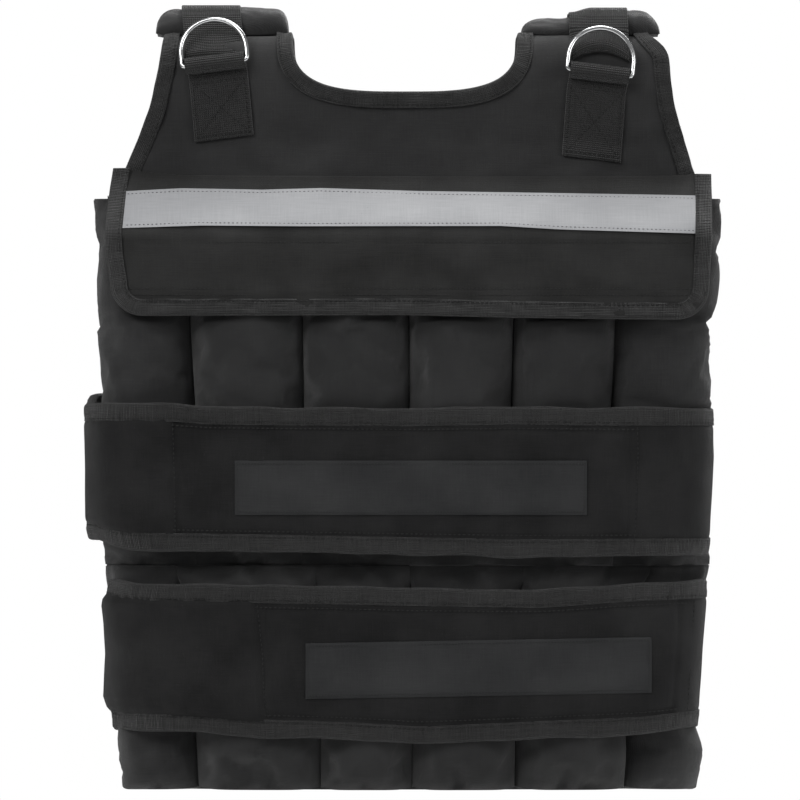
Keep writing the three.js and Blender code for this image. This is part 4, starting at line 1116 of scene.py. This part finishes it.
for hand, strap in STRAPS.items():
    nearest = min if hand == "right" else max
    middle_x = np.float64(nearest(strap["places"].values()))
    over = strap["front_path"]
    front = down_panel(over, over[-1][1] + 5, strap["end"], middle_x)
    behind = down_panel(BACK_PATH, 34, strap["end"], middle_x)[::-1] * [-1, 1]
    path = np.concatenate([behind, front])
    run = run_along(path)
    fine = np.linspace(0, run[-1], 1200)
    kernel = np.hanning(27)[1:-1] / np.hanning(27).sum()
    padded = [np.pad(np.interp(fine, run, spots), 12, "reflect", reflect_type="odd") for spots in path.T]
    path = np.stack([np.convolve(spots, kernel, "valid") for spots in padded], -1)
    run = run_along(path)
    even = threads(run[-1], 1.5, WEBBING_THICKNESS)
    depth, drop = (np.interp(even, run, path[:, k])[:, None] for k in (0, 1))
    ahead = np.stack([np.gradient(depth[:, 0], even), np.gradient(drop[:, 0], even)], -1)
    ahead /= np.linalg.norm(ahead, axis=1, keepdims=True)
    across = (threads(WEBBING_WIDTH, 1.5, WEBBING_THICKNESS) - WEBBING_WIDTH / 2)[None, :]
    bent = -eased(drop, 8, 30) * across * math.tan(strap["tilt"]) * (depth > 0)
    folded = np.exp(-(((drop - 9) / 10) ** 2)) * (depth > 50)
    bent = bent + strap["fold"] * (across / 20) ** 2 * folded
    bent = bent + (strap["fold"] > 5) * 3.7 * eased(-across, 4, 20) * (1 - eased(np.abs(depth), 20, 50))
    x = eased_table(np.where(depth > 0, drop, -19), strap["places"], 3) + across
    rim = np.minimum(WEBBING_WIDTH / 2 - np.abs(across), np.minimum(even, even[-1] - even)[:, None])
    half = rounded(rim, WEBBING_THICKNESS)
    below = np.clip(drop, 25, 200)
    curve = np.abs(shell(x, girth_at(below))[..., 1]) - np.abs(shell(middle_x, girth_at(below))[..., 1])
    curve = curve * eased(drop, 0, 30) * np.sign(depth)
    faces = []
    for turn in (1, -1):
        off = turn * half
        y = depth + curve + ahead[:, 1:] * off
        z = -(drop + bent) + ahead[:, :1] * off
        faces.append(together(x, -y, z))
    uv = together(across, even[:, None])
    piece = sew(f"shoulder_strap_{hand}", *faces, uv, webbing_cloth, "webbing")
    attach(piece, "vest")
    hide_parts(f"shoulder_webbing_{hand}")

    inner_x = WEBBING_WIDTH / 2 - 2.5
    high, low = strap["bar"] + 11, strap["end"] - 2.5
    corners = [(-1, 0), (1, 0), (1, 1), (-1, 1), (-1, 0), (1, 1), (1, 0), (-1, 1)]
    legs = seam_legs(corners, np.linspace(0, 1, 30))
    box = [on_strap(strap, aside * inner_x, low + (high - low) * up_box, 0.85) for aside, up_box in legs]
    sizes = dict(Thread=0.0007, Length=0.0026, Pitch=0.0032)
    stitch(f"strap_box_stitches_{hand}", box, slot="webbing", **sizes)

    bar_girth = -float(girth_at(strap["bar"]))
    normal = shell_normal(np.float64(strap["keeper"]), bar_girth)
    bar = shell(strap["keeper"] + 1.0, bar_girth) - shell(strap["keeper"] - 1.0, bar_girth)
    bar /= np.linalg.norm(bar)
    c, s = math.cos(strap["tilt"]), math.sin(strap["tilt"])
    bar = bar * c + np.cross(normal, bar) * s
    up = np.cross(bar, -normal)
    origin = off_shell(strap["keeper"], bar_girth, 2 * SEAT + WEBBING_THICKNESS + KEEPER_HALF[1])
    angle = np.linspace(0, 2 * math.pi, 49)[:-1][None, :]
    along = (threads(KEEPER_WIDTH, 1.2, 1.5) - KEEPER_WIDTH / 2)[:, None]
    grids = []
    for sink in (0, 1.5):
        upright, outright = KEEPER_HALF[0] - sink, KEEPER_HALF[1] - sink
        place = (upright * np.cos(angle))[..., None] * up + (outright * np.sin(angle))[..., None] * normal
        grids.append(origin + along[..., None] * bar + place)
    uv = together(along, np.append(angle, 2 * math.pi)[None, :] * 5)
    piece = sew(f"keeper_loop_{hand}", *grids, uv, webbing_cloth, "webbing", looped=True)
    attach(piece, "vest")
    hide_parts(f"ring_keeper_{hand}")

    ring_up = up * math.cos(RING_LEAN) + np.cross(bar, up) * math.sin(RING_LEAN)
    ring_out = np.cross(bar, ring_up)
    line = []
    for cx, start in ((RING_BEND - RING_HALF, math.pi), (RING_HALF - RING_BEND, 1.5 * math.pi)):
        for t in np.linspace(start, start + math.pi / 2, 8):
            line.append((cx + RING_BEND * math.cos(t), RING_BEND + RING_BEND * math.sin(t)))
    for t in np.linspace(0, math.pi, 48):
        line.append((RING_HALF * math.cos(t), RING_LEG + RING_HALF * math.sin(t)))
    line = np.array(line)
    ahead = np.roll(line, -1, 0) - np.roll(line, 1, 0)
    ahead /= np.linalg.norm(ahead, axis=1, keepdims=True)
    outwards = np.stack([ahead[:, 1], -ahead[:, 0]], -1)
    turn = np.linspace(0, 2 * math.pi, 25)[:-1]
    section = RING_WIRE / 2 * np.stack([np.cos(turn), np.sin(turn)], -1)
    flat = line[:, None] + outwards[:, None] * section[None, :, :1]
    points = origin + flat[..., :1] * bar + flat[..., 1:] * ring_up + section[None, :, 1:] * ring_out
    count, sides = points.shape[:2]
    ids = np.arange(count * sides).reshape(count, sides)
    ahead_ids = np.roll(ids, -1, 0)
    quads = np.stack([ids, np.roll(ids, -1, 1), np.roll(ahead_ids, -1, 1), ahead_ids], -1)
    mesh = bpy.data.meshes.new(f"ring_{hand}")
    mesh.from_pydata((points.reshape(-1, 3) * 0.001).tolist(), [], quads.reshape(-1, 4).tolist())
    mesh.polygons.foreach_set("use_smooth", [True] * len(mesh.polygons))
    mesh.materials.append(ring_chrome)
    ring = bpy.data.objects.new(f"ring_{hand}", mesh)
    bpy.context.collection.objects.link(ring)
    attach(ring, f"{hand}_ring")
    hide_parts(f"d_ring_{hand}")

low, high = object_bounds()
